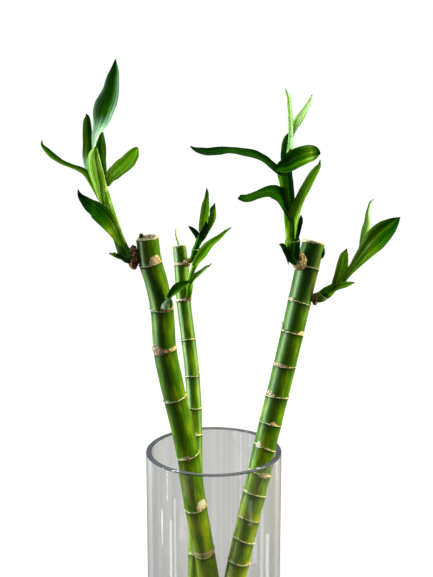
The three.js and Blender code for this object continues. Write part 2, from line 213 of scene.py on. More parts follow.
# %% Node kit
class Recipe:
    def __init__(self, name, kind=bpy.data.materials):
        self.holder = kind.new(name)
        self.holder.use_nodes = True
        self.tree = self.holder.node_tree
        self.tree.nodes.clear()

    def fill(self, socket, value):
        if isinstance(value, bpy.types.NodeSocket):
            self.tree.links.new(value, socket)
        else:
            socket.default_value = value

    def add(self, kind, values=None, **settings):
        node = self.tree.nodes.new("ShaderNode" + kind)
        for key, value in settings.items():
            setattr(node, key, value)
        for key, value in (values or {}).items():
            self.fill(node.inputs[key], value)
        return node

    def mark(self, name, output="Fac"):
        return self.add("Attribute", attribute_name=name).outputs[output]

    def count(self, operation, a, b=0):
        return self.add("Math", {0: a, 1: b}, operation=operation).outputs[0]

    def sum(self, a, b):
        return self.count("ADD", a, b)

    def times(self, a, b):
        return self.count("MULTIPLY", a, b)

    def most(self, a, b):
        return self.count("MAXIMUM", a, b)

    def ease(self, value, low, high, start=0.0, end=1.0):
        limits = {"From Min": low, "From Max": high, "To Min": start, "To Max": end}
        node = self.add("MapRange", {"Value": value, **limits}, interpolation_type="SMOOTHSTEP")
        return node.outputs[0]

    def mix(self, share, a, b):
        node = self.add("Mix", {0: share}, data_type="RGBA")
        for key, colour in ((6, a), (7, b)):
            plain = isinstance(colour, tuple)
            self.fill(node.inputs[key], (*colour, 1) if plain else colour)
        return node.outputs[2]

    def ramp(self, value, stops):
        node = self.add("ValToRGB", {0: value})
        elements = node.color_ramp.elements
        while len(elements) < len(stops):
            elements.new(0.5)
        for element, (place, colour) in zip(elements, stops):
            element.position = place
            element.color = (*colour, 1)
        return node.outputs[0]

    def stretched(self, vector, scale):
        return self.add("Mapping", {"Vector": vector, "Scale": scale}).outputs[0]

    def noise(self, vector, scale, detail=3.0, roughness=0.55):
        sockets = {"Vector": vector, "Scale": scale, "Detail": detail, "Roughness": roughness}
        return self.add("TexNoise", sockets).outputs[0]

    def bump(self, height, distance, strength=1.0):
        sockets = {"Height": height, "Distance": distance, "Strength": strength}
        return self.add("Bump", sockets).outputs[0]

    def finish(self, shader, output="OutputMaterial"):
        self.add(output, {"Surface": shader.outputs[0]})
        return self.holder


def bent_rays(recipe, path):
    """Rays that glass has bent, and those it mirrors after it bent them once."""
    depth = {0: path.outputs["Transmission Depth"], 1: 1.0, 2: 0.1}
    once = recipe.add("Math", depth, operation="COMPARE").outputs[0]
    guided = recipe.times(path.outputs["Is Glossy Ray"], once)
    return recipe.most(path.outputs["Is Transmission Ray"], guided)


print("node kit ready, with", len([word for word in vars(Recipe) if word[0] != "_"]), "tools")

# %% [markdown]
# ## Canes
# A lucky bamboo's cane is a cut stem of a dracaena. Each ring is the scar where a leaf's base once
# went all round, a thin cork line that stands a little proud. In places a torn rest of the leaf
# base clings above the line as a papery tan patch. The whole cane is one skin: its radius follows
# the table, each ring adds a ridge, and the patches are a mark that the material colours. Rows of
# points lie close together near the rings and far apart between them.

# %% Cane table
# axis, radii and rings follow the solids. blush is how yellow the skin is from foot to top. The
# right cane's key after it is painted light: how much yellower and paler its right side is
# painted near the top. frayed is how many millimetres below the cut the skin has dried to fibres.
CANES = {
    "left": dict(
        axis=[
            (8.5, 8.5, 11.2), (-3.6, -12.5, 104.6), (-12.3, -25.8, 165), (-18.6, -35.4, 213),
            (-28.9, -43.4, 266), (-32.4, -46.6, 287.5), (-33.8, -51, 315), (-36.9, -53.5, 333.5),
            (-40.6, -55.8, 348), (-42.4, -58.5, 365),
        ],
        radii=[7.2, 7.4, 7.8, 7.8, 7.9, 7.7, 7.5, 7.4, 7.4, 7.2],
        rings=[32, 64, 96, 131, 169.4, 210, 253.4, 289.3, 317.5, 348.1],
        blush=(1.1, 1.05, 0.95, 0.82, 0.75, 0.72),
        frayed=0.8,
    ),
    "back": dict(
        axis=[
            (-16.2, 10.6, 10.4), (-14.8, 24.4, 103), (-14.8, 36.3, 199), (-16.8, 42, 244),
            (-20, 45.7, 273.5), (-23.6, 49.2, 303), (-25.2, 52.7, 330), (-26.8, 54.5, 345),
        ],
        radii=[5.7, 5.7, 5.6, 5.6, 5.5, 5.5, 5.5, 5],
        rings=[28, 53, 78, 105.6, 136, 168, 199, 219.7, 244.3, 272.5, 303, 330.5],
        blush=(1.0, 0.97, 0.85, 0.72),
        frayed=1.0,
    ),
    "right": dict(
        axis=[
            (-3.2, -26.7, 10.9), (15.5, -18.9, 108), (33.2, -12.3, 190), (52, -5.9, 270),
            (65.4, -1, 331), (71.2, 0.9, 355),
        ],
        radii=[7.9, 7.9, 8.1, 8, 8.3, 8],
        rings=[
            26, 43, 61, 80, 99, 121.5, 138, 154.5, 172.9, 188.3, 206.5, 224, 244, 266, 290, 312,
            337.3,
        ],
        blush=(1.15, 1.08, 0.95, 0.8, 0.74, 0.3),
        painted_light=0.4,
        frayed=1.6,
    ),
}
# Papery patches: ring height, angle from the front (right is positive), half width in degrees, how
# far it reaches above and below the ring, and how square it is (1 is a triangle).
PATCHES = {
    "left": [
        (348.1, 32, 36, 6, 0.4, 5), (317.5, 45, 34, 2, 0.6, 3), (317.5, -50, 50, 0.9, 0.2, 3),
        (289.3, -55, 56, 4.2, 3, 4), (289.3, 40, 75, 2, 0.9, 4), (253.4, 62, 14, 1.8, 0.4, 2),
        (210, -6, 26, 3.3, 0.3, 1), (169.4, 42, 36, 6.8, 0.6, 4), (131, 0, 95, 2, 0.6, 6),
        (96, 120, 40, 3, 0.3, 2), (64, -20, 30, 3.4, 0.3, 1.4),
    ],
    "back": [
        (330.5, 0, 180, 1.6, 1, 9), (303, 0, 180, 1.2, 0.8, 9), (219.7, -40, 26, 1.2, 0.4, 2),
        (199, 10, 34, 2, 0.3, 1.4), (272.5, 62, 30, 1.3, 0.2, 2), (136, 150, 40, 2.4, 0.4, 2),
    ],
    "right": [
        (337.3, -40, 40, 1, 0.4, 3), (312, -52, 22, 3, 0.3, 3), (290, 46, 36, 2.6, 0.3, 2.5),
        (266, -30, 62, 1.3, 0.6, 5), (266, 170, 40, 3, 0.3, 2), (244, -52, 36, 3.8, 0.4, 2),
        (224, 5, 24, 3.2, 0.3, 1.4), (206.5, 12, 22, 1.2, 0.3, 2), (188.3, 25, 42, 1, 2, 3),
        (172.9, -60, 30, 1.6, 0.4, 2), (154.5, -50, 36, 1.2, 0.3, 2), (121.5, 60, 30, 2.4, 0.3, 2),
        (99, 10, 20, 2.6, 0.3, 1),
    ],
}
# Where a patch has aged to a darker brown, in the same terms
AGED = {
    "left": [(289.3, -45, 75, 7, 7, 9), (131, 0, 100, 5, 5, 9)],
    "back": [],
    "right": [(266, 10, 40, 3, 3, 9), (244, 5, 50, 3, 3, 9)],
}
# White flakes of old skin, in the same terms
FLAKES = {
    "left": [
        (170.2, 42, 35, 6.2, -0.6, 4), (317.5, -60, 60, 0.7, 0.7, 3), (132, -10, 85, 0.9, 0.2, 5),
    ],
    "back": [(303, 0, 180, 0.9, 0.5, 9)],
    "right": [(206.5, -42, 20, 4.6, 0.6, 1.6), (189.6, 20, 40, 0.6, 0.4, 3)],
}
# The rings that run askew: millimetres from a ring's middle up to its highest side, and that side
SLOPES = {
    "left": {
        131: (2.2, 180), 169.4: (1.6, 150), 210: (1, 80), 253.4: (0.8, 90), 348.1: (0.6, 60),
    },
    "back": {},
    "right": {
        138: (1, -70), 154.5: (1.5, -90), 172.9: (1, -60), 188.3: (1, -80), 206.5: (1.6, -70),
        244: (0.9, 90), 266: (0.9, 90), 312: (0.9, -90),
    },
}
for name, cane in CANES.items():
    cane["patches"], cane["flakes"], cane["aged"] = PATCHES[name], FLAKES[name], AGED[name]
    print(name, "cane:", cane["axis"][-1][2], "mm high with", len(cane["rings"]), "rings")

# %% Rows of points up a cane
ROW_STEP, PATCH_STEP, CUT_STEP = 3.0, 0.6, 0.5
RING_REACH, RING_ROWS, RING_GAP = 4.0, 17, 0.5
PATCH_REACH, CUT_REACH = 8, 4
CUT_BEVEL = 0.6


def cane_rows(cane):
    """Heights of the rows: far apart, but close near rings, tall patches and the cut."""
    foot, top = cane["axis"][0][2], cane["axis"][-1][2]
    rows = list(np.arange(foot + CUT_BEVEL, top - CUT_BEVEL, ROW_STEP))
    for ring in cane["rings"]:
        rows = [row for row in rows if abs(row - ring) > RING_REACH + RING_GAP]
        rows += list(ring + np.linspace(-RING_REACH, RING_REACH, RING_ROWS))
    for ring, _, _, up, _, _ in cane["patches"]:
        if up > RING_REACH:
            rows += list(ring + np.arange(RING_REACH + PATCH_STEP, PATCH_REACH, PATCH_STEP))
    rows += list(np.arange(top - CUT_REACH, top - CUT_BEVEL, CUT_STEP))
    rows = sorted(row for row in set(rows) if foot + CUT_BEVEL <= row <= top - CUT_BEVEL)
    return np.array([foot, *rows, top - CUT_BEVEL, top])


print("rows of points:", {name: len(cane_rows(cane)) for name, cane in CANES.items()})


# %% Where the paper lies
def patch_mark(height, angles, patches):
    """How far inside a papery patch each point lies: 1 well inside, 0 outside."""
    from_front = np.degrees(angles) + 90
    mark = np.zeros_like(height)
    for ring, middle, half, up, down, squareness in patches:
        aside = np.abs((from_front - middle + 180) % 360 - 180) / half
        room = np.clip(1 - aside**squareness, 0, 1)
        above = up * room - (height - ring)
        below = down * room + (height - ring)
        inside = np.minimum(above, below)
        mark = np.maximum(mark, np.where(aside < 1, smooth(-0.2, 0.7, inside), 0))
    return mark


front = patch_mark(np.array([[210.0]]), np.array([-math.pi / 2]), PATCHES["left"])
print("paper on the front of the left cane's ring at 210 mm:", round(front[0, 0], 2))

# %% The skin of a cane
CANE_SIDES = 72
RIDGE, RIDGE_HALF, CORK_HALF = 0.45, 0.75, 0.42
SLIGHT_SLOPE = 0.35
SWELLING, SWELLING_REACH, SWELLING_END = 0.16, 5.0, 0.6
PAPER, UNEVEN = 0.12, 0.05
RING_WOBBLE, PATCH_WOBBLE, FRAY_WOBBLE = 0.25, 0.35, 0.9
PAINTED_LIGHT_FROM, PAINTED_LIGHT_TO = 290, 325
EVEN_RADIUS = 8


def cane_skin(name, cane):
    """The skin without its cut faces. Noise and grain are read on an even cylinder round it."""
    rows = cane_rows(cane)
    dense = np.linspace(0, 1, 2000)
    steps = np.interp(rows, points_on(cane["axis"], dense)[:, 2], dense)
    centres, along = points_on(cane["axis"], steps), directions_on(cane["axis"], steps)
    angles = np.linspace(0, 2 * np.pi, CANE_SIDES, endpoint=False)
    height = np.repeat(rows[:, None], CANE_SIDES, axis=1)
    wobble = rough(rings_round(centres, along, EVEN_RADIUS, angles), scale=9, seed=3)
    ridge, line, under = (np.zeros_like(height) for _ in range(3))
    for ring in cane["rings"]:
        lift, side = SLOPES[name].get(ring, (SLIGHT_SLOPE, 37 * ring))
        slope = lift * np.cos(angles + math.pi / 2 - math.radians(side))
        off = height - ring - slope - RING_WOBBLE * wobble
        ridge = np.maximum(ridge, np.exp(-((off / RIDGE_HALF) ** 2)))
        line = np.maximum(line, np.exp(-((off / CORK_HALF) ** 2)))
        below = np.where(off < 0, np.exp(off / SWELLING_REACH), np.exp(-off / SWELLING_END))
        under = np.maximum(under, below)
    patch = patch_mark(height + PATCH_WOBBLE * wobble, angles, cane["patches"])
    radii = spread(cane["radii"], steps)[:, None] + RIDGE * ridge + SWELLING * under
    radii = radii + PAPER * patch + UNEVEN * wobble
    radii[0] -= CUT_BEVEL
    radii[-1] -= CUT_BEVEL
    rings = rings_round(centres, along, radii, angles)
    frayed, below_top = cane["frayed"], rows[-1] - height + FRAY_WOBBLE * wobble
    cut = np.zeros_like(height)
    cut[0] = cut[-1] = 1
    blush = spread(cane["blush"], (height - rows[0]) / (rows[-1] - rows[0]))
    # Painted light: near the top, a cane's right side is painted yellower through blush and a
    # little paler through the waxy mark, as if light fell on it from the right.
    painted_light = smooth(0, 0.9, np.cos(angles)) * smooth(PAINTED_LIGHT_FROM, PAINTED_LIGHT_TO, height)
    painted_light = painted_light * cane.get("painted_light", 0)
    across, back = EVEN_RADIUS * np.cos(angles), EVEN_RADIUS * np.sin(angles)
    return rings, angles, dict(
        ring=line, scar=patch, under=under, cut=cut, blush=blush + painted_light, waxy=0.25 * painted_light,
        dried=smooth(frayed + 0.6, frayed - 0.4, below_top),
        aged=patch_mark(height, angles, cane["aged"]),
        flake=patch_mark(height, angles, cane["flakes"]),
        grain=np.stack(np.broadcast_arrays(across, back, height), -1),
    )


print("points round a cane:", CANE_SIDES)

# %% [markdown]
# ## Cut ends and small growths
# Each cane was cut off square with shears. Its pith has dried and sunk below the green edge, so the
# cut is a shallow dish of torn fibres. A flat lid would do from far off, but rings of points that
# shrink towards the middle can carry the dish and its roughness. Buds and a torn stub are small
# lumps: a ball that is stretched, drawn out to a point or pushed about with noise. They join the
# skin of their cane and carry the same marks, so that one material finishes all of it.


# %% Cut faces
CUT_DISH, CUT_ROUGH = 0.8, 0.22
# How far out each ring of the cut face lies, and its mark, which grows towards the pith
CUT_RINGS = {0.93: 1.1, 0.82: 1.2, 0.66: 1.4, 0.48: 1.6, 0.3: 1.8, 0.12: 2}


def with_cut_face(rings, marks, cane, angles):
    """Adds the cut face on top, and one below."""
    for end, sign in ((-1, -1), (0, 1)):
        step = [1.0 if end else 0.0]
        centre, along = points_on(cane["axis"], step), directions_on(cane["axis"], step)
        radius = cane["radii"][end] - CUT_BEVEL
        faces = []
        for share in CUT_RINGS:
            depth = CUT_DISH * smooth(1.0, 0.5, share)
            ring = rings_round(centre + sign * along * depth, along, radius * share, angles)
            torn = CUT_ROUGH * rough(ring, scale=1.3, seed=7)
            faces.append(ring + along[:, None] * torn[..., None])
        faces = np.vstack(faces)
        extra = {key: np.repeat(value[end][None], len(faces), 0) for key, value in marks.items()}
        extra["cut"] = extra["cut"] * 0 + np.array(list(CUT_RINGS.values()))[:, None]
        for name in ("ring", "scar", "under", "flake", "aged"):
            extra[name] = np.zeros((len(faces), len(angles)))
        extra["grain"] = faces
        if end:
            rings = np.vstack([rings, faces])
            marks = {key: np.concatenate([marks[key], extra[key]]) for key in marks}
        else:
            rings = np.vstack([faces[::-1], rings])
            marks = {key: np.concatenate([extra[key][::-1], marks[key]]) for key in marks}
    return rings, marks


print("rings of points in a cut face:", len(CUT_RINGS))


# %% Lumps and tubes
def ball(centre, size, knobs=0.0, knob_scale=2.0, sides=28, rows=20, point=0.0, lean=(0, 0, 1)):
    """A lump: a ball stretched to size, with knobs of a share of its size, drawn out to a point."""
    turn = np.linspace(0, 2 * np.pi, sides, endpoint=False)
    fall = np.linspace(0.04, math.pi - 0.04, rows)[::-1]
    x = np.sin(fall)[:, None] * np.cos(turn)
    y = np.sin(fall)[:, None] * np.sin(turn)
    z = np.cos(fall)[:, None] * np.ones(sides)
    shell = np.stack([x, y, z], -1)
    shell[..., :2] *= (1 - point * smooth(0.0, 1.0, z))[..., None]
    size = np.array(size, float)
    out = 1 + knobs * rough(shell * size, knob_scale, seed=11 + sum(centre))
    tilt = Vector((0, 0, 1)).rotation_difference(Vector(lean)).to_matrix()
    return (shell * size * out[..., None]) @ np.array(tilt).T + np.array(centre)


def tube(line, radii, rows=24, sides=18):
    steps = np.linspace(0, 1, rows)
    angles = np.linspace(0, 2 * np.pi, sides, endpoint=False)
    return rings_round(
        points_on(line, steps), directions_on(line, steps), spread(radii, steps)[:, None], angles,
    )


def plain_marks(points, **changes):
    """The same marks as the cane's skin has, for a growth that is joined to it."""
    marks = dict.fromkeys(("ring", "scar", "under", "cut", "dried", "waxy", "flake", "aged"), 0)
    return {**marks, "blush": 0.2, "grain": points, **changes}


print("marks on a growth:", ", ".join(plain_marks(None)))

# %% Build the canes
# The right cane has two dormant buds, the back one a dry spike, the last of a leaf base, and the
# left one a torn stub on its cut. Each bud is its centre, size, lean and look. The first bud's
# look paints it pale all over, a painted highlight where its gloss would shine.
BUDS = [
    ((49.5, -5.4, 294.8), (2, 2.2, 2.8), (-0.2, 0, 1), dict(waxy=1.0, blush=0.8)),
    ((77.2, -2, 346.5), (1.6, 2.2, 4), (0.25, 0, 1), dict(under=0.5)),
]
SPIKE = dict(
    line=[(-27.2, 56, 341), (-27.6, 57, 346.5), (-29.4, 57, 352.5), (-29.3, 57, 358)],
    radii=[2, 1.7, 1.1, 0.4],
)
STUB = ((-46.3, -56, 365.6), (1.35, 1.2, 1.3))
growths = {"left": [], "back": [], "right": []}
for centre, size, lean, look in BUDS:
    bud = ball(centre, size, point=0.45, lean=lean)
    growths["right"].append(skin(bud, **plain_marks(bud, **look)))
spike = tube(SPIKE["line"], SPIKE["radii"])
growths["back"].append(skin(spike, **plain_marks(spike, waxy=1, blush=0.6)))
stub = ball(*STUB, knobs=0.3, knob_scale=0.8)
growths["left"].append(skin(stub, **plain_marks(stub, under=1, blush=0)))

cane_pieces = {}
for name, cane in CANES.items():
    rings, angles, marks = cane_skin(name, cane)
    rings, marks = with_cut_face(rings, marks, cane, angles)
    cane_pieces[name] = make_piece(f"stalk_{name}", [skin(rings, **marks), *growths[name]])

# %% [markdown]
# ## Cane finish
# The skin is waxy and green, yellower low down where the cane is older and the light reaches it,
# and darker just below each ring. Fine streaks run up it, because the fibres do. The ring is cream
# cork, and the patches are torn paper: tan, streaked along the cane and brown where they have
# aged. Noise that is squeezed sideways gives the fibres, and the marks on the skin say where each
# colour goes. Flecks push each mark's edge in and out, because nothing torn has an even edge.

# %% Cane material
recipe = Recipe("cane_skin")
grain = recipe.mark("grain", "Vector")
fibre = recipe.noise(recipe.stretched(grain, (1.6, 1.6, 0.06)), 1.0, 4)
blotch = recipe.noise(recipe.stretched(grain, (0.16, 0.16, 0.05)), 1.0, 2)
fleck = recipe.noise(recipe.stretched(grain, (0.9, 0.9, 0.6)), 1.0, 4, 0.7)
blush = recipe.sum(recipe.mark("blush"), recipe.ease(blotch, 0.3, 0.7, -0.16, 0.16))
blush = recipe.sum(blush, recipe.ease(fibre, 0.3, 0.7, -0.12, 0.12))
green = recipe.ramp(
    blush,
    [
        (0.0, (0.002, 0.032, 0.005)), (0.35, (0.013, 0.067, 0.001)), (0.7, (0.042, 0.118, 0.0)),
        (0.88, (0.08, 0.185, 0.0)), (1.0, (0.22, 0.29, 0.0)),
    ],
)
# The pale waxy green is the dry spike's own colour, a painted highlight on the first bud, and
# painted light on the right cane's right side near the top.
green = recipe.mix(recipe.mark("waxy"), green, (0.48, 0.6, 0.42))
shade = recipe.times(recipe.ease(recipe.mark("under"), 0.1, 1.0), 0.72)
green = recipe.mix(shade, green, (0.005, 0.022, 0.001))


def ragged(mark, low, high, inward, outward, few=0.3, many=0.7):
    """Where a mark passes from low to high, with flecks that push its edge in or out."""
    push = recipe.ease(fleck, few, many, -inward, outward)
    return recipe.ease(recipe.sum(recipe.mark(mark), push), low, high)


cork = recipe.mix(recipe.ease(fleck, 0.36, 0.55), (0.25, 0.17, 0.07), (0.9, 0.82, 0.52))
paper = recipe.ramp(
    recipe.count("SUBTRACT", fleck, recipe.times(recipe.mark("aged"), 0.09)),
    [
        (0.3, (0.05, 0.02, 0.01)), (0.41, (0.34, 0.19, 0.11)), (0.5, (0.58, 0.4, 0.27)),
        (0.64, (0.86, 0.74, 0.56)),
    ],
)
line = ragged("ring", 0.35, 0.75, 0.25, 0.2)
torn = ragged("scar", 0.42, 0.6, 0.3, 0.3)
flake = ragged("flake", 0.3, 0.6, 0.4, 0.1, 0.35, 0.6)
dry = ragged("dried", 0.4, 0.7, 0.3, 0.3)
cut = recipe.mark("cut")
pith = recipe.mix(recipe.ease(fleck, 0.44, 0.62), (0.04, 0.02, 0.01), (0.6, 0.45, 0.28))
pith = recipe.mix(recipe.ease(cut, 1.05, 1.3), (0.85, 0.76, 0.55), pith)
colour = green
for share, finish in (
    (line, cork), (torn, paper), (flake, (0.62, 0.58, 0.52)), (dry, paper),
    (recipe.ease(cut, 0.4, 0.9), pith),
):
    colour = recipe.mix(share, colour, finish)
bare = recipe.most(recipe.most(line, torn), recipe.most(dry, cut))
height = recipe.sum(recipe.times(fleck, bare), recipe.times(fibre, 0.12))
shader = recipe.add(
    "BsdfPrincipled",
    {
        "Base Color": colour,
        "Roughness": recipe.ease(bare, 0.1, 0.9, 0.3, 0.85),
        "Specular IOR Level": 0.22,
        "Specular Tint": (0.85, 1, 0.85, 1),
        "Sheen Weight": 0.2,
        "Sheen Roughness": 0.3,
        "Sheen Tint": (0.9, 1, 0.75, 1),
        "Normal": recipe.bump(height, 0.0006, 0.8),
    },
)
cane_material = recipe.finish(shader)
for name, piece in cane_pieces.items():
    place_piece(piece, cane_material, f"cane_{name}")
print("canes finished:", len(cane_pieces))

# %% [markdown]
# ## Collars
# Where a bud broke out, the cane healed round the new shoot with a rough corky swelling. Each is a
# lump with knobs of two sizes. It could be sculpted by hand, but pushing a ball's points in and out
# with noise is enough, because cork has no pattern. It is sunk into the cane that carries it.

# %% Build the collars
COLLARS = {
    "left_top": ((-51.4, -58.5, 351.7), (3.7, 4.6, 7.8)),
    "left_bud": ((-30.6, -57.4, 318.4), (4.4, 3.6, 2.6)),
    "back_top": ((-20.9, 49, 332.4), (3.2, 3, 3.4)),
    "back_low": ((-19.8, 45.6, 305.4), (2.8, 2.8, 2.8)),
    "right_top": ((60.4, -7.4, 341.6), (5.4, 5.2, 6.5)),
    "right_side": ((72, -4.4, 314.2), (2.8, 3.8, 4.5)),
}
# How far each collar's cork has bleached
PALE_CORK = dict(
    left_top=0.2, left_bud=1.2, back_top=1.1, back_low=1.2, right_top=2.2, right_side=0.2,
)
CRUMBS, SUNK = 0.22, 0.1
collar_pieces = {}
for name, (centre, size) in COLLARS.items():
    shell = ball(centre, size, knobs=0.07, knob_scale=2.6, sides=72, rows=48)
    out = unit(shell - np.array(centre))
    shell = shell + out * (CRUMBS * rough(shell, scale=0.9, seed=5) - SUNK)[..., None]
    pale = smooth(0.0, 2.0, rough(shell, scale=4, seed=9) + PALE_CORK[name])
    collar_pieces[name] = make_piece(f"cork_{name}", [skin(shell, pale=pale)])

# %% [markdown]
# ## Collar finish
# Cork is dead and crumbly, dark in its cracks and bleached where the light has reached it. A cell
# pattern has edges that run together like cracks, and fine noise gives the crumbs. A painted image
# would need to be wrapped round each lump, while both patterns fill space and need no wrapping. How
# bleached the cork is differs from collar to collar, so it is a mark on the skin.

# %% Collar material
recipe = Recipe("cork")
place = recipe.add("TexCoord").outputs["Object"]
crumb = recipe.noise(place, 700, 5, 0.7)
crack = recipe.add("TexVoronoi", {"Vector": place, "Scale": 520}, feature="DISTANCE_TO_EDGE")
crack = crack.outputs[0]
colour = recipe.ramp(
    recipe.sum(crumb, recipe.times(recipe.mark("pale"), 0.14)),
    [
        (0.4, (0.02, 0.01, 0.004)), (0.48, (0.13, 0.06, 0.02)), (0.55, (0.45, 0.26, 0.1)),
        (0.62, (0.9, 0.68, 0.38)),
    ],
)
colour = recipe.mix(recipe.ease(crack, 0.0, 0.12, 0.6, 0.0), colour, (0.05, 0.02, 0.01))
height = recipe.sum(crumb, recipe.ease(crack, 0.0, 0.2))
shader = recipe.add(
    "BsdfPrincipled",
    {"Base Color": colour, "Roughness": 0.85, "Normal": recipe.bump(height, 0.0008, 0.8)},
)
cork_material = recipe.finish(shader)
for name, piece in collar_pieces.items():
    place_piece(piece, cork_material, f"collar_{name}")
print("collars finished:", len(collar_pieces))

# %% [markdown]
# ## Leafy shoots
# A shoot is a short stem wrapped in leaf bases, and each base opens into a blade. One good leaf
# could be made and copied, but every blade grew its own way, and copies on a small plant are soon
# noticed. So each blade is written down by itself, as the line it follows, its widths and its
# greens, in one table for each shoot.

# %% How a shoot is written down
# A stem is its line, its radii, its sheath rims (how far up, how slanted, and towards which side
# in degrees), how fresh its green is from foot to top, its painted light and shade on the left and
# on the right (above zero lighter, below zero darker), and how much pale frost it has. A blade is
# the points of its spine, each with the width there, the way its upper side looks from base to
# tip, its fold in degrees, how far its margins wave, how fresh its green is from base to tip, its
# painted light and shade on the left and the right half, and how much pale frost its left margin,
# its right margin and its base carry, in part waxy bloom and in part painted sheen.
SHOOTS = {}


def describe(name, **look):
    SHOOTS[name] = look
    print(name, "shoot:", len(look["blades"]), "blades")


# %% The left cane's top shoot
describe(
    "left_top",
    line=[(-51.5, -58.5, 351), (-56, -59, 353.5), (-60, -60, 363), (-65.5, -61, 382.5),
          (-68, -61, 391), (-69, -61, 397), (-72.5, -61, 412.5), (-74, -60, 421)],
    radii=[3.8, 4.5, 3.6, 2.8, 2.7, 2.2, 2, 1.4], rims=[(0.6, 1.6, 10)],
    fresh=(0.5, 0.62, 0.76, 0.88, 0.9, 0.8), sides=(-0.28, 0), waxy=0.3,
    blades=[
        ([(-58.5, -60, 351, 7), (-61.5, -62.5, 352.5, 6), (-64, -63.5, 354, 4),
          (-66, -64, 355.5, 0.4)],
         [(0.4, -0.3, 0.85)], 34, 0.3, (0.35, 1)),
        ([(-57.8, -63.8, 360.5, 3.5), (-60.4, -64.2, 365, 6), (-62.7, -64.5, 369.4, 8.5),
          (-65.3, -65, 373.6, 10.2), (-68.6, -66, 378, 11.5), (-73.5, -68.5, 383, 11),
          (-76.5, -72, 386, 9), (-79, -74.5, 389, 6.5), (-81.5, -77, 392.5, 3.5),
          (-82.5, -79, 396.5, 0.4)],
         [(0, -0.7, 0.7), (0, -0.9, 0.4), (0.1, -0.9, 0.4)], 12, 0.25,
         (0.5, 0.74, 0.2, -0.05, -0.1), (0.12, 0.14), (0.1, 0.3, 0)),
        ([(-69, -61.5, 386, 5), (-73, -61.5, 393.5, 5.5), (-77, -61, 400.5, 5.5),
          (-80, -60.5, 405, 5), (-83.5, -60, 407.5, 4.5), (-89, -58.5, 409.5, 4),
          (-95.5, -57, 412, 4.5), (-101.5, -54, 415.5, 5), (-106.5, -52, 420, 4),
          (-109, -51, 423, 2), (-109, -50, 426, 0.4)],
         [(0.6, -0.75, 0.3), (0.35, -0.6, 0.75)], 16, 0.2, (0.66, 0.62, 0.46), (0.15, -0.05),
         (0.15, 0, 0)),
        ([(-69, -63.6, 385, 3), (-70.5, -65.4, 390, 6), (-71.5, -68.5, 397.5, 10.5),
          (-72.5, -72, 404.5, 13), (-73, -74.5, 410, 13), (-73, -76.5, 415.5, 9.5),
          (-72, -78, 419.5, 5), (-71, -79, 422.5, 0.4)],
         [(0.6, 0.75, 0.2)], 8, 0.15, (0.84, 0.95)),
        ([(-76, -59, 400, 3), (-78.5, -57, 407.5, 5), (-79.5, -54, 415, 7), (-79.5, -51, 423, 7.5),
          (-80, -48.5, 431, 7), (-80.5, -46.5, 437.5, 5.5), (-80.5, -45.5, 440.5, 3),
          (-81.5, -45, 442.5, 0.4)],
         [(-0.3, -0.8, 0.5), (0.1, -0.95, 0.1)], 30, 0.2, (0.64, 0.54), (0.15, -0.35), (0.2, 0, 2)),
        ([(-75, -60.5, 421, 2.5), (-73.5, -60.5, 428, 6), (-71.5, -60, 433, 9),
          (-69, -59.5, 439, 15), (-67.1, -58.5, 445.5, 17), (-65, -57.5, 451, 15.2),
          (-63.3, -56, 457, 12.6), (-62.4, -55, 463, 10.4), (-61.4, -54, 469, 6.4),
          (-61, -53, 475.8, 0.4)],
         [(-0.5, -0.7, 0.5), (-0.45, -0.85, 0.25), (-0.45, -0.88, 0.1)], 12, 0.25,
         (0.7, 0.28, 0.2, 0.14), (0.22, 0.25), (0.8, 1, 2.6)),
        ([(-68.5, -59.5, 396, 2), (-69.5, -56, 406, 4.5), (-71, -53, 413.5, 6.5),
          (-71.5, -51, 419.5, 7.5), (-71.5, -50, 425.5, 6), (-71, -49, 431, 2)],
         [(0.1, -0.95, 0.1)], 26, 0.15, (0.58, 0.55), (-0.15, 0.22), (0, 0.45, 0)),
        ([(-67, -60, 397.5, 4.5), (-65.3, -58.5, 401.3, 9.5), (-63, -57, 403.5, 13.5),
          (-60.2, -54, 406.2, 17.5), (-57, -50.5, 409.2, 18.5), (-54.2, -48, 412.7, 16),
          (-52, -45, 416.4, 12.5), (-50, -43.5, 419.8, 6.5), (-48.5, -43, 421, 0.8)],
         [(-0.5, -0.65, 0.55)], 10, 0.15, (0.68, 0.64)),
    ],
)

# %% The bud on the left cane's front
describe(
    "left_bud",
    line=[(-31, -57.5, 318.6), (-30.4, -58.8, 320.3), (-29.4, -59.6, 322.8), (-28.6, -60, 325)],
    radii=[2.6, 3, 2.2, 1.2], rims=[(0.55, 0.4, 0)], fresh=(1, 0.92, 0.8), sides=(0, -0.12),
    waxy=0.8,
    blades=[
        ([(-29, -59.5, 325, 4), (-26.5, -61, 328.5, 6), (-24, -62.5, 331, 8),
          (-21.5, -64.5, 333, 8), (-19, -66, 335, 6), (-16.5, -67, 336.5, 3.5),
          (-15, -68, 338, 0.4)],
         [(-0.5, -0.7, 0.5)], 22, 0.1, (0.38, 0.34), (0, 0.3), (0.1, 0.4, 0)),
        ([(-28.5, -58.8, 318.6, 2.5), (-27, -59.6, 320.4, 3.6), (-26.8, -60.2, 322.6, 3.2),
          (-27.8, -60.4, 324.6, 1.5)],
         [(-0.7, -0.7, 0.1)], 30, 0.1, (0.95, 0.85), (0, 0), (0.2, 0.2, 0)),
    ],
)

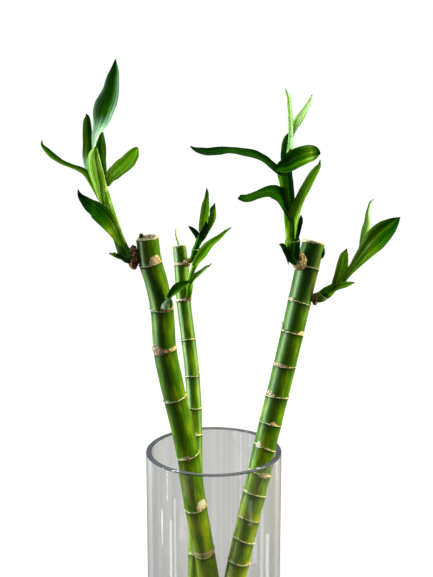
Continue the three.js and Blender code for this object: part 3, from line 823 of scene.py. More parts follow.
# %% The back cane's top shoot
describe(
    "back_top",
    line=[(-18.8, 48, 333), (-15.6, 47.3, 337), (-13.9, 47, 342), (-12.9, 47, 345.5),
          (-10.8, 47, 350.5), (-8.2, 47, 356)],
    radii=[1.9, 2.1, 2.9, 2.2, 2.7, 1.6], rims=[(0.44, 0.8, 0)], fresh=(0.5, 0.3, 0.2, 0.45),
    sides=(0.25, -0.05),
    blades=[
        ([(-12.5, 47, 351.5, 5), (-13.5, 48, 354, 5.5), (-16, 49, 357, 4.5), (-18, 49.5, 359, 2.6),
          (-19.5, 50, 360.5, 0.4)],
         [(0.4, -0.8, 0.4)], 25, 0.1, (0.15, 0.02)),
        ([(-8, 47, 356, 7.5), (-7, 47, 363.5, 8.8), (-6, 46.5, 371.5, 8.4), (-5.5, 47, 377.5, 7),
          (-5, 47, 382.5, 4.4), (-5, 47.5, 386.5, 2.7), (-5.5, 48, 389.5, 0.4)],
         [(-0.5, -0.8, 0.2)], 24, 0.15, (0.8, 0.68, 0.42), (0.12, -0.16)),
        ([(-6, 46, 355.5, 5.5), (-2, 44.5, 363.5, 7.2), (0, 43, 368.5, 7), (0, 42, 373.5, 6.2),
          (0.5, 41.5, 376.5, 3), (0.5, 41, 378.5, 0.4)],
         [(-0.5, -0.8, 0.1)], 28, 0.1, (0.86, 0.74, 0.25), (0.05, -0.05)),
        ([(-10, 46, 350, 4.5), (-7.5, 44, 355.5, 6.5), (-6, 42.5, 361, 4.5), (-6, 41.5, 365, 0.4)],
         [(0, -0.95, 0.2)], 26, 0.1, (0.3, 0.25), (0, 0), (0.05, 0, 0)),
        ([(-9.5, 48, 354.5, 4), (-8.5, 49, 362, 3.5), (-8, 50, 370.5, 1.5), (-7.5, 50.5, 374, 0.4)],
         [(0.2, -0.95, 0.1)], 20, 0.1, (0.95, 0.8)),
    ],
)

# %% The back cane's low shoot
describe(
    "back_low",
    line=[(-19.5, 44.8, 305.5), (-18.8, 43.6, 311), (-18.2, 42.6, 318), (-17, 42, 325),
          (-15.5, 41.5, 331)],
    radii=[1.9, 2.3, 2.3, 1.9, 1.2], rims=[(0.5, 0.8, 90)], fresh=(0.45, 0.9, 0.95), sides=(0, 0),
    blades=[
        ([(-17, 42, 321.5, 5), (-15, 41.5, 328.5, 6), (-12, 41, 334.5, 8.5),
          (-8, 40.5, 339.5, 10.5), (-4.5, 40, 344.5, 10), (-0.5, 39, 349, 7.5), (4.5, 38, 353, 5),
          (9, 37, 357.5, 3), (13, 36, 361, 0.4)],
         [(-0.6, -0.65, 0.4)], 24, 0.15, (0.68, 0.62)),
        ([(-17.5, 42.5, 317.5, 5.5), (-15, 41, 321.5, 6.5), (-12, 40, 324.5, 5.5),
          (-9, 39, 327, 4.6), (-6, 38, 330, 3.2), (-3.5, 37.5, 331.5, 2), (-2, 37, 333.5, 0.4)],
         [(-0.6, -0.55, 0.5)], 14, 0.1, (0.9, 0.98), (0, 0), (0.5, 0.5, 0.2)),
    ],
)

# %% The right cane's top shoot
describe(
    "right_top",
    line=[(58.6, -8, 341), (55.6, -9.6, 345.2), (54.9, -10.4, 351), (54.9, -10.5, 357),
          (54.2, -11, 360.5), (53.2, -11, 372), (52, -11, 385.5), (50.2, -10.6, 396),
          (48.8, -10, 405), (51, -9, 411), (52.2, -8, 420)],
    radii=[3.2, 4.8, 5.4, 5, 4.3, 4.2, 4, 4.8, 5.3, 2.3, 1.6],
    rims=[(0.3, 0.8, 60), (0.52, 2, 180)],
    fresh=(0.4, 0.42, 0.62, 0.7, 0.7, 0.55, 0.45, 0.55, 0.9, 1.1), sides=(0.02, -0.7),
    blades=[
        ([(52.5, -11, 341.5, 9), (50.5, -13.5, 346.5, 8), (48.5, -15.5, 350.5, 7),
          (47, -16.5, 353.5, 5.5), (45.5, -17, 355, 0.6)],
         [(0.5, -0.6, 0.6)], 25, 0.15, (0.3, 0.05)),
        ([(54.3, -12, 360, 9.5), (54.8, -14.5, 368, 11.5), (56, -16.5, 374.5, 11),
          (57.8, -18.5, 381, 9.5), (60.5, -21, 388.5, 8.5), (63.5, -23.5, 395, 8),
          (66.5, -26, 401.5, 7.5), (69, -28, 406, 6), (70.5, -29.5, 409.5, 3),
          (70.5, -30, 413, 0.4)],
         [(-0.6, -0.75, 0.2)], 26, 0.2, (0.84, 0.78, 0.68), (0.04, -0.04), (0, 0.2, 0)),
        ([(58.5, -9.5, 359.5, 3), (60, -7.5, 366.5, 4), (61, -6, 370.5, 3.5), (61, -4, 374, 0.4)],
         [(-0.4, -0.8, 0.2)], 20, 0.1, (0.1, 0.05)),
        ([(53, -13, 370, 4), (51, -13.5, 377, 8), (48.2, -14, 383, 11), (45.5, -15, 387, 12),
          (42.5, -16, 389.5, 12), (38.5, -18, 390.5, 10), (35, -20.5, 390.5, 8),
          (29.5, -24, 389, 6.5), (23, -28.5, 387, 6.5), (18.5, -31, 387, 6.5),
          (16.5, -32, 387.5, 2)],
         [(0.6, -0.8, 0.2), (0.5, -0.75, 0.4), (0.1, -0.6, 0.8)], 18, 0.3,
         (0.45, 0.4, 0.36, 0.45, 0.45, 0.02), (0.03, -0.05)),
        ([(47.5, -11.5, 403.5, 7.5), (43.5, -11.5, 405.5, 8), (39.5, -10.5, 408.5, 7.5),
          (35.5, -10, 412, 7.5), (31, -9, 414.5, 7), (26.5, -8, 416, 7.5), (20, -6, 417, 8),
          (14, -4, 418, 8), (8, -1.5, 418, 8), (1.5, 0, 417.5, 8), (-4.5, 2, 417, 8),
          (-10, 4, 418, 7), (-14, 5.5, 419.5, 3.5), (-16.5, 6, 421.5, 0.4)],
         [(0.6, -0.7, 0.4), (0.1, -0.6, 0.75)], 14, 0.4, (0.3, 0.36, 0.4, 0.36, 0.22, 0.1),
         (0, -0.04)),
        ([(42.5, -14, 406, 3), (45.5, -15.6, 407.4, 7.5), (48.8, -17, 408.6, 11.5),
          (52.4, -18, 410.6, 14), (56.2, -20, 412.9, 15), (60, -22, 414.5, 15),
          (63.2, -23.5, 415.7, 14), (66.5, -25, 416.5, 12.5), (69.2, -26.5, 417.1, 9),
          (70.8, -27.5, 417.4, 3)],
         [(-0.1, -0.95, 0.2), (-0.25, -0.9, 0.3), (-0.5, -0.8, 0.3)], 24, 0.25,
         (0.42, 0.36, 0.46, 0.9, -0.1), (-0.04, 0.02)),
        ([(52.2, -9, 416, 5.4), (53, -8, 427, 4.6), (53, -7, 433.5, 4.4), (52.5, -5.5, 442, 4.2),
          (52, -3.5, 448.5, 3.6), (51.5, -1.5, 454, 2.8), (50.5, 1, 457.5, 2),
          (49.5, 3, 460.5, 0.4)],
         [(-0.7, -0.7, 0.1)], 8, 0.1, (1, 1, 0.95, 0.75), (0, 0.1), (0.8, 0.9, 0.6)),
        ([(53.5, -8.5, 427.5, 3), (55, -7.5, 432.5, 5), (57, -6, 436.5, 7.6), (59.5, -4, 440.5, 8),
          (62, -2, 444.5, 6.4), (64.5, 1, 448.5, 4.6), (66.5, 3, 452, 3.4), (67.5, 4, 454, 2),
          (68, 5, 456.5, 0.4)],
         [(-0.6, -0.7, 0.4)], 10, 0.1, (0.92, 0.95, 1.1, 1.4, 1.3), (0, 0), (0.5, 0.9, 0)),
        ([(48.5, -8, 408, 4), (48.5, -6.5, 413.5, 5.5), (49, -5, 419, 6), (49.5, -3, 423.5, 5.5),
          (50.5, -1, 427.5, 3.5), (52, 0, 430.5, 0.4)],
         [(-0.2, -0.85, 0.4), (0.2, -0.95, 0.2)], 32, 0.1, (0.42, 0.36), (0.05, -0.05),
         (0.15, 0.1, 0)),
    ],
)

# %% The right cane's side shoot
describe(
    "right_side",
    line=[(72.6, -4, 314), (75.6, -4.2, 315.4), (80.5, -5, 319), (86.5, -5.5, 324)],
    radii=[2.8, 3.7, 4.2, 2.6], rims=[(0.45, 1.2, -40)], fresh=(0.75, 0.6), sides=(0, 0),
    blades=[
        ([(83, -6, 321, 8), (87, -9, 323, 8), (90.5, -12, 324.5, 7), (93.5, -15, 326, 5.5),
          (96, -17, 327.5, 3), (97.5, -18, 328.5, 0.4)],
         [(-0.3, -0.6, 0.75)], 22, 0.15, (0.55, 0.8), (0, 0), (0.05, 0, 0)),
        ([(84.6, -5.8, 320.8, 4), (87.3, -5.5, 326, 7.5), (89.5, -4, 331, 8.5),
          (91.5, -2, 336, 9.5), (92.5, 0.5, 340.5, 8.5), (93.5, 3, 344.5, 6.5), (94.5, 5, 347, 3),
          (95.5, 6, 349, 0.4)],
         [(-0.4, -0.85, 0.25)], 26, 0.15, (0.66, 0.7, 0.74, 0.62), (0.05, 0)),
        ([(90, -6.5, 325, 4), (94, -8, 332, 6), (98, -10, 337.5, 7), (101.5, -11.5, 342.5, 9.5),
          (105, -13.5, 347.5, 12.5), (109, -16, 353, 16), (113, -18, 358, 18.5),
          (117, -20.5, 363, 17.5), (120.5, -22.5, 367, 14.5), (123.5, -24, 371, 8.5),
          (126, -25, 374.3, 0.6)],
         [(-0.5, -0.8, 0.25), (-0.5, -0.7, 0.45)], 22, 0.25, (0.66, 0.72, 0.7, 0.36, 0.3),
         (0.16, 0.02)),
        ([(93, -4, 329, 3.5), (101, -2.5, 340.5, 4), (104.5, -1.5, 349, 4.5),
          (106.5, 0.5, 355.5, 6.5), (108.5, 2.5, 362.5, 7.5), (109.5, 4.5, 368, 5.5),
          (109.5, 6, 373.5, 3.5), (110.5, 7.5, 378.5, 2), (111.5, 8.5, 381.5, 1.5),
          (114, 9, 384, 0.4)],
         [(-0.5, -0.8, 0.2)], 30, 0.1, (0.9, 1, 0.85), (0, 0.05), (0.05, 0, 0)),
    ],
)

# %% [markdown]
# ## Blades
# A blade could be cut from a flat sheet and bent, but sweeping a section along its spine gives the
# fold, the waves of its margins and its thickness at once. The section is thin, thickest along the
# middle and folded up on both sides, with a fine groove over the rib. Marks tell the material how
# far along and across each point lies, which side is the underside, and how deep or fresh the
# green is there.

# %% Blade
BLADE_ROWS, BLADE_ACROSS = 48, 19
RIB_THICKNESS, MARGIN_THICKNESS = 0.62, 0.22
NARROWEST = 0.16
GROOVE, GROOVE_HALF = 0.15, 0.45
PLEATS, WAVES = 0.03, 17
TIP_DRY_FROM, TIP_DRY_TO = 3.2, 0.6


def blade_skin(number, spine, faces, fold, wave, fresh, sides=(0, 0), frost_and_sheen=(0, 0, 0)):
    steps = np.linspace(0, 1, BLADE_ROWS)
    up = steps[:, None]
    centre = points_on(spine, steps)
    half = np.maximum(centre[:, 3:] / 2, NARROWEST)
    centre, along = centre[:, :3], directions_on([point[:3] for point in spine], steps)
    face = np.stack([spread([face[axis] for face in faces], steps) for axis in range(3)], axis=1)
    sideways = unit(np.cross(along, face))
    outward = np.cross(sideways, along)
    share = np.linspace(-1, 1, BLADE_ACROSS)
    lift = math.radians(fold)
    ripple = np.sin(up * WAVES + number * 2.1 + 1.3 * np.sign(share)) * share**2
    rise = half * (np.abs(share) ** 1.6 * math.sin(lift) + PLEATS * np.cos(3 * np.pi * share))
    rise = rise + wave * ripple * np.sin(np.pi * up)
    rise = rise - GROOVE * np.exp(-((share * half / GROOVE_HALF) ** 2))
    top = (
        centre[:, None]
        + sideways[:, None] * (share * half * math.cos(lift))[..., None]
        + outward[:, None] * rise[..., None]
    )
    thickness = MARGIN_THICKNESS + (RIB_THICKNESS - MARGIN_THICKNESS) * (1 - share**2)
    thickness = np.minimum(thickness, 1.6 * half)
    under = top - outward[:, None] * thickness[..., None]
    rings = np.concatenate([top, under[:, ::-1]], axis=1)
    across = np.concatenate([share, share[::-1]])
    below = np.repeat([0.0, 1.0], BLADE_ACROSS)
    # Painted light and shade: each half of the blade is painted lighter where more light falls on
    # it and darker where less does.
    painted_half_light = sides[0] * smooth(0.1, -0.35, across) + sides[1] * smooth(-0.1, 0.35, across)
    margins = frost_and_sheen[0] * smooth(-0.25, -0.75, across) + frost_and_sheen[1] * smooth(0.25, 0.75, across)
    length = np.linalg.norm(np.diff(centre, axis=0), axis=1).sum()
    grain = np.broadcast_arrays(
        across * 4.0 + number * 7.3, up * length / 10, number + below * 3.1,
    )
    return skin(
        rings, across=across, under=below, rim=0, grain=np.stack(grain, -1),
        fresh=spread(fresh, steps)[:, None] + painted_half_light,
        waxy=np.maximum(margins * (1 - 0.6 * up), frost_and_sheen[2] * smooth(0.45, 0.05, up)),
        dry=smooth(TIP_DRY_FROM, TIP_DRY_TO, length * (1 - up)),
    )


print("blade rows and points across:", BLADE_ROWS, BLADE_ACROSS)

# %% [markdown]
# ## Stems
# The bases of the leaves wrap the stem like sleeves, one in another, and each sleeve ends in a
# slanted rim. Real sleeves could be modelled one by one, but at this size a small step in the
# stem's radius, a pale line along it and some shade above it show the same, and the stem stays one
# skin.

# %% Stem with its sheath rims
STEM_ROWS, STEM_SIDES = 110, 32
SHEATH, SHEATH_REACH = 0.3, 9
RIM_HALF = 0.45
SHADE, SHADE_ABOVE_RIM, SHADE_REACH = 0.3, 1.2, 1.6
TOP_SHARE = 0.3


def stem_skin(number, shoot):
    steps = np.linspace(0, 1, STEM_ROWS)
    line = shoot["line"]
    centre, along = points_on(line, steps), directions_on(line, steps)
    angles = np.linspace(0, 2 * np.pi, STEM_SIDES, endpoint=False)
    length = np.linalg.norm(np.diff(centre, axis=0), axis=1).sum()
    up = steps[:, None] * length
    radii = spread(shoot["radii"], steps)[:, None] * np.ones(STEM_SIDES)
    rim, shaded = np.zeros_like(radii), np.zeros_like(radii)
    for share, slant, side in shoot["rims"]:
        off = up - share * length - slant * np.cos(angles - math.radians(side))
        radii = radii + SHEATH * (1 - smooth(-0.2, 0.5, off)) * smooth(-SHEATH_REACH, -1, off)
        rim = np.maximum(rim, np.exp(-((off / RIM_HALF) ** 2)))
        shade = np.exp(-np.abs(off - SHADE_ABOVE_RIM) / SHADE_REACH)
        shaded = np.maximum(shaded, shade * (off > 0.2))
    radii[-1] *= TOP_SHARE
    # Painted light and shade: each side of the stem is painted lighter where more light falls on it
    # and darker where less does.
    left, right = shoot["sides"]
    sides = left * smooth(0, 0.6, -np.cos(angles)) + right * smooth(0, 0.6, np.cos(angles))
    grain = np.broadcast_arrays(
        2.5 * np.cos(angles) + number * 5.1, 2.5 * np.sin(angles), up / 10,
    )
    return skin(
        rings_round(centre, along, radii, angles), across=0, under=0.4, rim=rim, dry=0,
        waxy=shoot.get("waxy", 0), grain=np.stack(grain, -1),
        fresh=spread(shoot["fresh"], steps)[:, None] + sides - SHADE * shaded,
    )


print("stem rows and points round:", STEM_ROWS, STEM_SIDES)

# %% Build the shoots
shoot_pieces = {}
for name, shoot in SHOOTS.items():
    first = 10 * len(shoot_pieces)
    skins = [stem_skin(first, shoot)]
    for number, blade in enumerate(shoot["blades"], first + 1):
        skins.append(blade_skin(number, *blade))
    shoot_pieces[name] = make_piece(f"leaves_{name}", skins, sharp=60)

# %% [markdown]
# ## Leaf finish
# A leaf is glossy above, duller below, and lets some light through. Its veins run side by side
# from base to tip, so noise is drawn out along the blade. Pale streaks lie between the veins: in
# part a young leaf's waxy frost, and in part a painted sheen, pale green to near white, where a
# glossy leaf would mirror the lamps. The margin is a thin pale line, and the very tip has dried
# to brown. A Translucent shader mixed into the glossy one gives the glow of a leaf that is lit
# from behind.

# %% Leaf material
recipe = Recipe("leaf_skin")
grain = recipe.mark("grain", "Vector")
veins = recipe.noise(recipe.stretched(grain, (3.2, 0.12, 1)), 1.0, 3, 0.6)
bands = recipe.noise(recipe.stretched(grain, (0.9, 0.1, 1)), 1.0, 2)
blotch = recipe.noise(recipe.stretched(grain, (0.3, 0.35, 1)), 1.0, 2)
fresh = recipe.sum(recipe.mark("fresh"), recipe.ease(veins, 0.3, 0.7, -0.11, 0.11))
fresh = recipe.sum(fresh, recipe.ease(bands, 0.3, 0.7, -0.12, 0.13))
fresh = recipe.sum(fresh, recipe.ease(blotch, 0.3, 0.7, -0.06, 0.06))
green = recipe.ramp(
    fresh,
    [
        (0.0, (0.0004, 0.01, 0.001)), (0.25, (0.003, 0.06, 0.001)), (0.5, (0.025, 0.15, 0.0)),
        (0.72, (0.12, 0.28, 0.0)), (0.88, (0.24, 0.52, 0.01)), (1.0, (0.52, 0.76, 0.25)),
    ],
)
streak = recipe.ease(veins, 0.36, 0.62)
# Pale streaks, in part waxy frost and in part painted sheen, laid where the waxy mark is high.
streaked_frost_and_sheen = recipe.times(recipe.mark("waxy"), recipe.times(streak, 0.9))
frost_and_sheen = recipe.ease(streaked_frost_and_sheen, 0.08, 0.9)
green = recipe.mix(frost_and_sheen, green, (0.62, 0.95, 0.75))
green = recipe.mix(recipe.ease(streaked_frost_and_sheen, 0.7, 1.4), green, (0.88, 1.0, 0.9))
edge = recipe.ease(recipe.count("ABSOLUTE", recipe.mark("across")), 0.9, 0.99)
colour = recipe.mix(recipe.times(edge, 0.35), green, (0.17, 0.27, 0.04))
colour = recipe.mix(recipe.times(recipe.mark("rim"), 0.85), colour, (0.42, 0.5, 0.22))
dry = recipe.ease(recipe.mark("dry"), 0.3, 0.9, 0.0, 0.75)
colour = recipe.mix(dry, colour, (0.016, 0.013, 0.005))
normal = recipe.bump(recipe.sum(veins, recipe.times(bands, 0.8)), 0.0004, 0.5)
gloss = recipe.add(
    "BsdfPrincipled",
    {
        "Base Color": colour,
        "Roughness": recipe.ease(recipe.mark("under"), 0.0, 1.0, 0.36, 0.5),
        "Specular IOR Level": 0.05,
        "Specular Tint": (0.6, 1, 0.2, 1),
        "Normal": normal,
    },
)
lit = recipe.mix(recipe.ease(frost_and_sheen, 0.1, 0.4, 0.35, 0.0), colour, (0.02, 0.16, 0.0))
glow = recipe.add("BsdfTranslucent", {"Color": lit, "Normal": normal})
through = recipe.sum(recipe.times(recipe.ease(frost_and_sheen, 0.15, 0.6), 0.34), 0.18)
both = recipe.add("MixShader", {0: through, 1: gloss.outputs[0], 2: glow.outputs[0]})
leaf_material = recipe.finish(both)
for name, piece in shoot_pieces.items():
    place_piece(piece, leaf_material, f"shoot_{name}")
print("shoots finished:", len(shoot_pieces))

# %% [markdown]
# ## Vase and water
# The vase is a blown cylinder with a thick base and a rim that a flame has rounded. Turning one
# outline about the axis makes it, with enough steps that glass, which shows every flat, looks
# round. The water reaches a hair into the glass instead of ending at it: a film of air between
# them would shine like a mirror, which real water doesn't.

# %% Build the vase and the water
RADIUS, HEIGHT, WALL, BASE = 50, 200, 4, 9
FOOT_ROUND, FLOOR_ROUND, LIP_ROUND = 4, 6, 0.9
WATER_LEVEL, MENISCUS, MENISCUS_REACH = 62, 0.9, 1.2
WATER_OVERLAP = 0.15
VASE_SIDES = 144
LIP_JOIN, LIP_FRONT, LIP_SIDES = 0.06, 0.68, 0.27
AXIS = 0.2  # an outline stops just short of the axis, and a small flat face closes it


def arc(radius, height, round_by, start, end, steps=10):
    """Part of a circle in the outline, from one angle to another in degrees."""
    turn = np.radians(np.linspace(start, end, steps))
    return [(radius + round_by * math.cos(a), height + round_by * math.sin(a)) for a in turn]


def turned(name, outline, lip_from=2 * HEIGHT):
    """Turns an outline about the axis. Its points above lip_from get the mark lip."""
    angles = np.linspace(0, 2 * np.pi, VASE_SIDES, endpoint=False)
    rows = [[(r * math.cos(a), r * math.sin(a), h) for a in angles] for r, h in outline]
    # How much painted shade the rim gets, most at its left and right.
    dark = LIP_FRONT + LIP_SIDES * np.cos(angles) ** 2
    lip = [(h > lip_from) * dark for _, h in outline]
    return make_piece(name, [skin(np.array(rows), lip=lip)], sharp=35)


inner = RADIUS - WALL
shoulder = HEIGHT - LIP_ROUND
outline = [(AXIS, 0), (30, 0), *arc(RADIUS - FOOT_ROUND, FOOT_ROUND, FOOT_ROUND, -90, 0)]
outline += [(RADIUS, h) for h in (*np.linspace(8, HEIGHT - 6, 12), shoulder - LIP_JOIN)]
outline += arc(RADIUS - LIP_ROUND, shoulder, LIP_ROUND, 0, 90, 8)
outline += arc(inner + LIP_ROUND, shoulder, LIP_ROUND, 90, 180, 8)
outline += [(inner, h) for h in (shoulder - LIP_JOIN, *np.linspace(HEIGHT - 6, 20, 12))]
outline += arc(inner - FLOOR_ROUND, BASE + FLOOR_ROUND, FLOOR_ROUND, 0, -90)
outline += [(20, BASE), (AXIS, BASE)]
vase = turned("glass_vase", outline, lip_from=shoulder - 0.01)

wet = inner + WATER_OVERLAP
bottom = BASE - WATER_OVERLAP
outline = [(AXIS, bottom), (20, bottom)]
outline += arc(wet - FLOOR_ROUND, bottom + FLOOR_ROUND, FLOOR_ROUND, -90, 0)
outline += [(wet, WATER_LEVEL + MENISCUS - 0.02)]
for inward in (0.4, 0.9, 1.6, 2.5, 4, 6):
    rise = MENISCUS * math.exp(-inward / MENISCUS_REACH)
    outline.append((wet - inward, WATER_LEVEL + rise))
outline += [(20, WATER_LEVEL), (AXIS, WATER_LEVEL)]
water = turned("still_water", outline)

# %% [markdown]
# ## Glass and water finish
# Real glass bends the light of everything behind it. A path tracer would spend all its samples on
# the lamps' light that glass focuses, so shadow and bounce rays pass straight through here, and
# only what the eye sees is bent. The wall isn't perfect: drawing the cylinder left faint upright
# streaks, which a very low bump shows in its reflections. Faint darker upright bands in the tint
# are painted reflection streaks. Seen edge on, thick glass looks dark, so the rim gets a painted
# shade, a smoky grey, most at its left and right.


# %% Clear materials
PAINTED_STREAK_DEPTH = 0.95


def clear_material(name, tint, ior, streaks):
    recipe = Recipe(name)
    place = recipe.add("TexCoord").outputs["Object"]
    drawn = recipe.noise(recipe.stretched(place, (60, 60, 2.5)), 1.0, 2)
    smear = recipe.noise(recipe.stretched(place, (30, 30, 14)), 1.0, 4)
    bands = recipe.noise(recipe.stretched(place, (230, 230, 3)), 1.0, 3)
    # Painted reflection streaks: faint darker upright bands in the glass's tint.
    painted_streak_tint = tuple(PAINTED_STREAK_DEPTH * part for part in tint)
    glass = recipe.add(
        "BsdfPrincipled",
        {
            "Base Color": recipe.mix(recipe.ease(bands, 0.35, 0.65), painted_streak_tint, (0.99, 0.985, 0.99)),
            "Roughness": recipe.ease(smear, 0.45, 0.8, 0.0, 0.04),
            "IOR": ior,
            "Specular IOR Level": 0.1,
            "Specular Tint": (0.25, 0.25, 0.25, 1),
            "Transmission Weight": 1.0,
            "Normal": recipe.bump(drawn, 0.001, streaks),
        },
    )
    # Painted shade for the rim, which thick glass seen edge on shows as dark.
    painted_rim_shade = recipe.add(
        "BsdfPrincipled",
        {"Base Color": (0.045, 0.05, 0.072, 1), "Roughness": 0.2, "Specular IOR Level": 0.05},
    )
    lip = recipe.mark("lip")
    seen = recipe.add("MixShader", {0: lip, 1: glass.outputs[0], 2: painted_rim_shade.outputs[0]})
    clear = recipe.add("BsdfTransparent")
    path = recipe.add("LightPath").outputs
    bounce = recipe.most(path["Is Shadow Ray"], path["Is Diffuse Ray"])
    mirrored = recipe.count("SUBTRACT", path["Is Glossy Ray"], path["Is Transmission Ray"])
    bounce = recipe.most(bounce, mirrored)
    both = recipe.add("MixShader", {0: bounce, 1: seen.outputs[0], 2: clear.outputs[0]})
    return recipe.finish(both)


clear_glass = clear_material("clear_glass", (0.93, 0.925, 0.935), 1.5, 0.12)
clear_water = clear_material("clear_water", (0.93, 0.97, 0.95), 1.33, 0.02)
place_piece(vase, clear_glass, "vase")
place_piece(water, clear_water, "water")
print("vase and water finished")

# %% [markdown]
# ## Floor
# The plant stands on a plain pale floor, as in a studio. A floor that is lit by lamps turns grey
# towards its far edge, so this one hardly takes their light. It glows white by itself where the
# camera sees it, a little less round the foot of the vase as a painted shade that grounds it, and
# about half as much where it is seen through glass, because a glass wall takes some of the light.

# %% Floor
FLOOR_RADIUS = 60
THROUGH_GLASS = 0.49
bpy.ops.mesh.primitive_circle_add(
    vertices=96, radius=FLOOR_RADIUS, fill_type="NGON", location=(0, 0, -0.0005),
)
floor = bpy.context.object
floor.name = "studio_floor"
recipe = Recipe("pale_floor")
place = recipe.add("TexCoord").outputs["Object"]
mottle = recipe.mix(recipe.noise(place, 3.0, 3), (0.055, 0.055, 0.055), (0.065, 0.065, 0.065))
matte = recipe.add("BsdfPrincipled", {"Base Color": mottle, "Roughness": 0.9})
away = recipe.add("VectorMath", {0: place}, operation="LENGTH").outputs["Value"]
path = recipe.add("LightPath")
bent = bent_rays(recipe, path)
# Less glow round the foot of the vase is a painted shade.
strength = recipe.times(
    recipe.ease(away, 0.08, 0.3, 0.75, 1.0), recipe.ease(bent, 0.0, 1.0, 1.0, THROUGH_GLASS),
)
lift = recipe.add("Emission", {"Strength": strength})
seen = recipe.most(path.outputs["Is Camera Ray"], bent)
glow = recipe.add("MixShader", {0: seen, 2: lift.outputs[0]})
both = recipe.add("AddShader", {0: matte.outputs[0], 1: glow.outputs[0]})
floor_material = recipe.finish(both)
floor_material.cycles.emission_sampling = "NONE"
floor.data.materials.append(floor_material)
print("floor radius:", FLOOR_RADIUS, "m")

# %% [markdown]
# ## Lamps
# Soft studio light comes from two tall panels at the sides and one above, so a cane is bright
# along both edges and dark up the middle. A round waxy cane also mirrors its lamps as long upright
# highlights, and where each one lies depends on where its lamp stands. So the highlights have
# lamps of their own, each linked to the canes it shines in and to nothing else. A faint low lamp
# lights the canes' fronts inside the vase.

# %% Lamps
LAMPS = [
    # name, place and aim in metres, width, height, watts, colour
    ("left_soft", (-0.95, 0.2, 0.42), (0, 0, 0.3), 0.6, 0.9, 26, (0.86, 0.97, 0.95)),
    ("right_soft", (0.95, 0.05, 0.4), (0, 0, 0.28), 0.6, 0.9, 28, (1.0, 0.95, 0.5)),
    ("top_soft", (-0.15, 0.1, 1.3), (0, 0, 0.3), 0.7, 0.7, 6, (0.94, 0.98, 1.0)),
    ("low_fill", (0.3, -0.55, 0.05), (0, 0, 0.09), 0.3, 0.2, 0.06, (1.0, 0.97, 0.5)),
    ("cane_side", (-0.95, 0.2, 0.42), (0, 0, 0.3), 0.6, 0.9, 34, (0.9, 1.0, 0.8)),
    ("cane_shine", (-0.62, -0.12, 0.25), (0, 0, 0.3), 0.42, 0.7, 13, (0.85, 1.0, 0.84)),
    ("thin_cane_right", (0.6, 0.0, 0.35), (0, 0, 0.3), 0.45, 0.7, 10, (0.9, 1.0, 0.55)),
    ("thin_cane_left", (-0.6, -0.02, 0.3), (0, 0, 0.3), 0.36, 0.7, 9, (0.85, 1.0, 0.95)),
    ("right_cane_top", (-0.5, -0.22, 0.46), (0.06, 0, 0.33), 0.34, 0.28, 6, (0.82, 1.0, 0.97)),
]
ONLY_FOR = dict(
    low_fill=CANES, cane_side=CANES, cane_shine=CANES, thin_cane_right=["back"],
    thin_cane_left=["back"], right_cane_top=["right"],
)
LOW_FILL_SPREAD = 40


def area_lamp(name, width, height, watts, lit=()):
    """A lamp that the camera doesn't see, for the pieces in lit alone, or else for everything."""
    lamp = bpy.data.lights.new(name, "AREA")
    lamp.shape = "RECTANGLE"
    lamp.size, lamp.size_y, lamp.energy = width, height, watts
    holder = bpy.data.objects.new(name, lamp)
    holder.visible_camera = False
    if lit:
        holder.visible_transmission = False
        group = bpy.data.collections.new(f"lit_by_{name}")
        for piece in lit:
            group.objects.link(piece)
        holder.light_linking.receiver_collection = group
    bpy.context.scene.collection.objects.link(holder)
    return holder


for name, place, aim, width, height, watts, colour in LAMPS:
    lit = [cane_pieces[cane] for cane in ONLY_FOR.get(name, ())]
    holder = area_lamp(name, width, height, watts, lit)
    holder.data.color = colour
    holder.location = place
    holder.rotation_euler = (Vector(aim) - Vector(place)).to_track_quat("-Z", "Y").to_euler()
    mirrored = bool(lit) and name != "low_fill"
    holder.visible_glossy, holder.visible_diffuse = mirrored, not mirrored
    if name == "low_fill":
        holder.data.spread = math.radians(LOW_FILL_SPREAD)
print("lamps:", len(LAMPS))

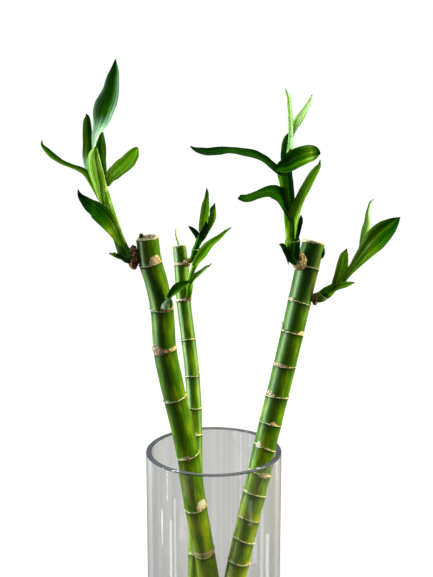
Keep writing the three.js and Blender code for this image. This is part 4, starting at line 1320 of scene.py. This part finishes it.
# %% [markdown]
# ## Glints
# Clear glass shows itself mostly by the lamps it mirrors: thin white streaks that stand upright on
# the wall. Each comes from a small upright lamp close to the vase that only the glass knows of. A
# lamp at an angle gives its streak at about half that angle, as a mirror does.

# %% Glints
GLINTS = [
    # name, degrees from the front (right is positive), metres from the axis, width, lower and upper
    # edge, and how bright
    ("glint_thin", -77.5, 0.3, 0.01, 0.059, 0.092, 12),
    ("glint_left", -59, 0.18, 0.012, 0.02, 0.12, 10),
    ("glint_right", 78, 0.18, 0.02, 0.0, 0.104, 3),
    ("glint_cane_right", 58, 0.25, 0.03, 0.061, 0.086, 5),
    ("glint_cane_left", -43, 0.3, 0.05, 0.069, 0.094, 4),
]
for name, turn, away, width, low, high, bright in GLINTS:
    turn = math.radians(turn)
    watts = bright * math.pi * width * (high - low)
    holder = area_lamp(name, width, high - low, watts, [vase])
    holder.location = (away * math.sin(turn), -away * math.cos(turn), (low + high) / 2)
    holder.rotation_euler = (math.radians(90), 0, turn)
    holder.visible_diffuse = False
print("glints:", len(GLINTS))

# %% [markdown]
# ## World
# The camera sees plain white behind the plant. What the leaves and canes mirror is softer: bright
# behind and dim in front, as in a room with one big window, which keeps the middle of each cane
# dark. Through glass the white is dimmed as it is on the floor. One world can show each kind of
# ray a different backdrop, mixed by what kind of ray asks.

# %% World
recipe = Recipe("studio", bpy.data.worlds)
axes = recipe.add("SeparateXYZ", {0: recipe.add("TexCoord").outputs["Generated"]})
limits = {"From Min": -0.4, "From Max": 0.6, "To Min": 0.16, "To Max": 0.8}
dim = recipe.add("MapRange", {"Value": axes.outputs["Y"], **limits})
shown = recipe.add("Background", {"Strength": dim.outputs[0]})
path = recipe.add("LightPath")
for ray, strength in (
    (bent_rays(recipe, path), THROUGH_GLASS), (path.outputs["Is Camera Ray"], 1.0),
):
    white = recipe.add("Background", {"Color": (1, 1, 1, 1), "Strength": strength})
    shown = recipe.add("MixShader", {0: ray, 1: shown.outputs[0], 2: white.outputs[0]})
bpy.context.scene.world = recipe.finish(shown, "OutputWorld")
bpy.context.scene.view_settings.view_transform = "Standard"
print("the world is bright behind and dim in front")

# %% [markdown]
# ## Finish

# %% Finish
print("the scene is built")
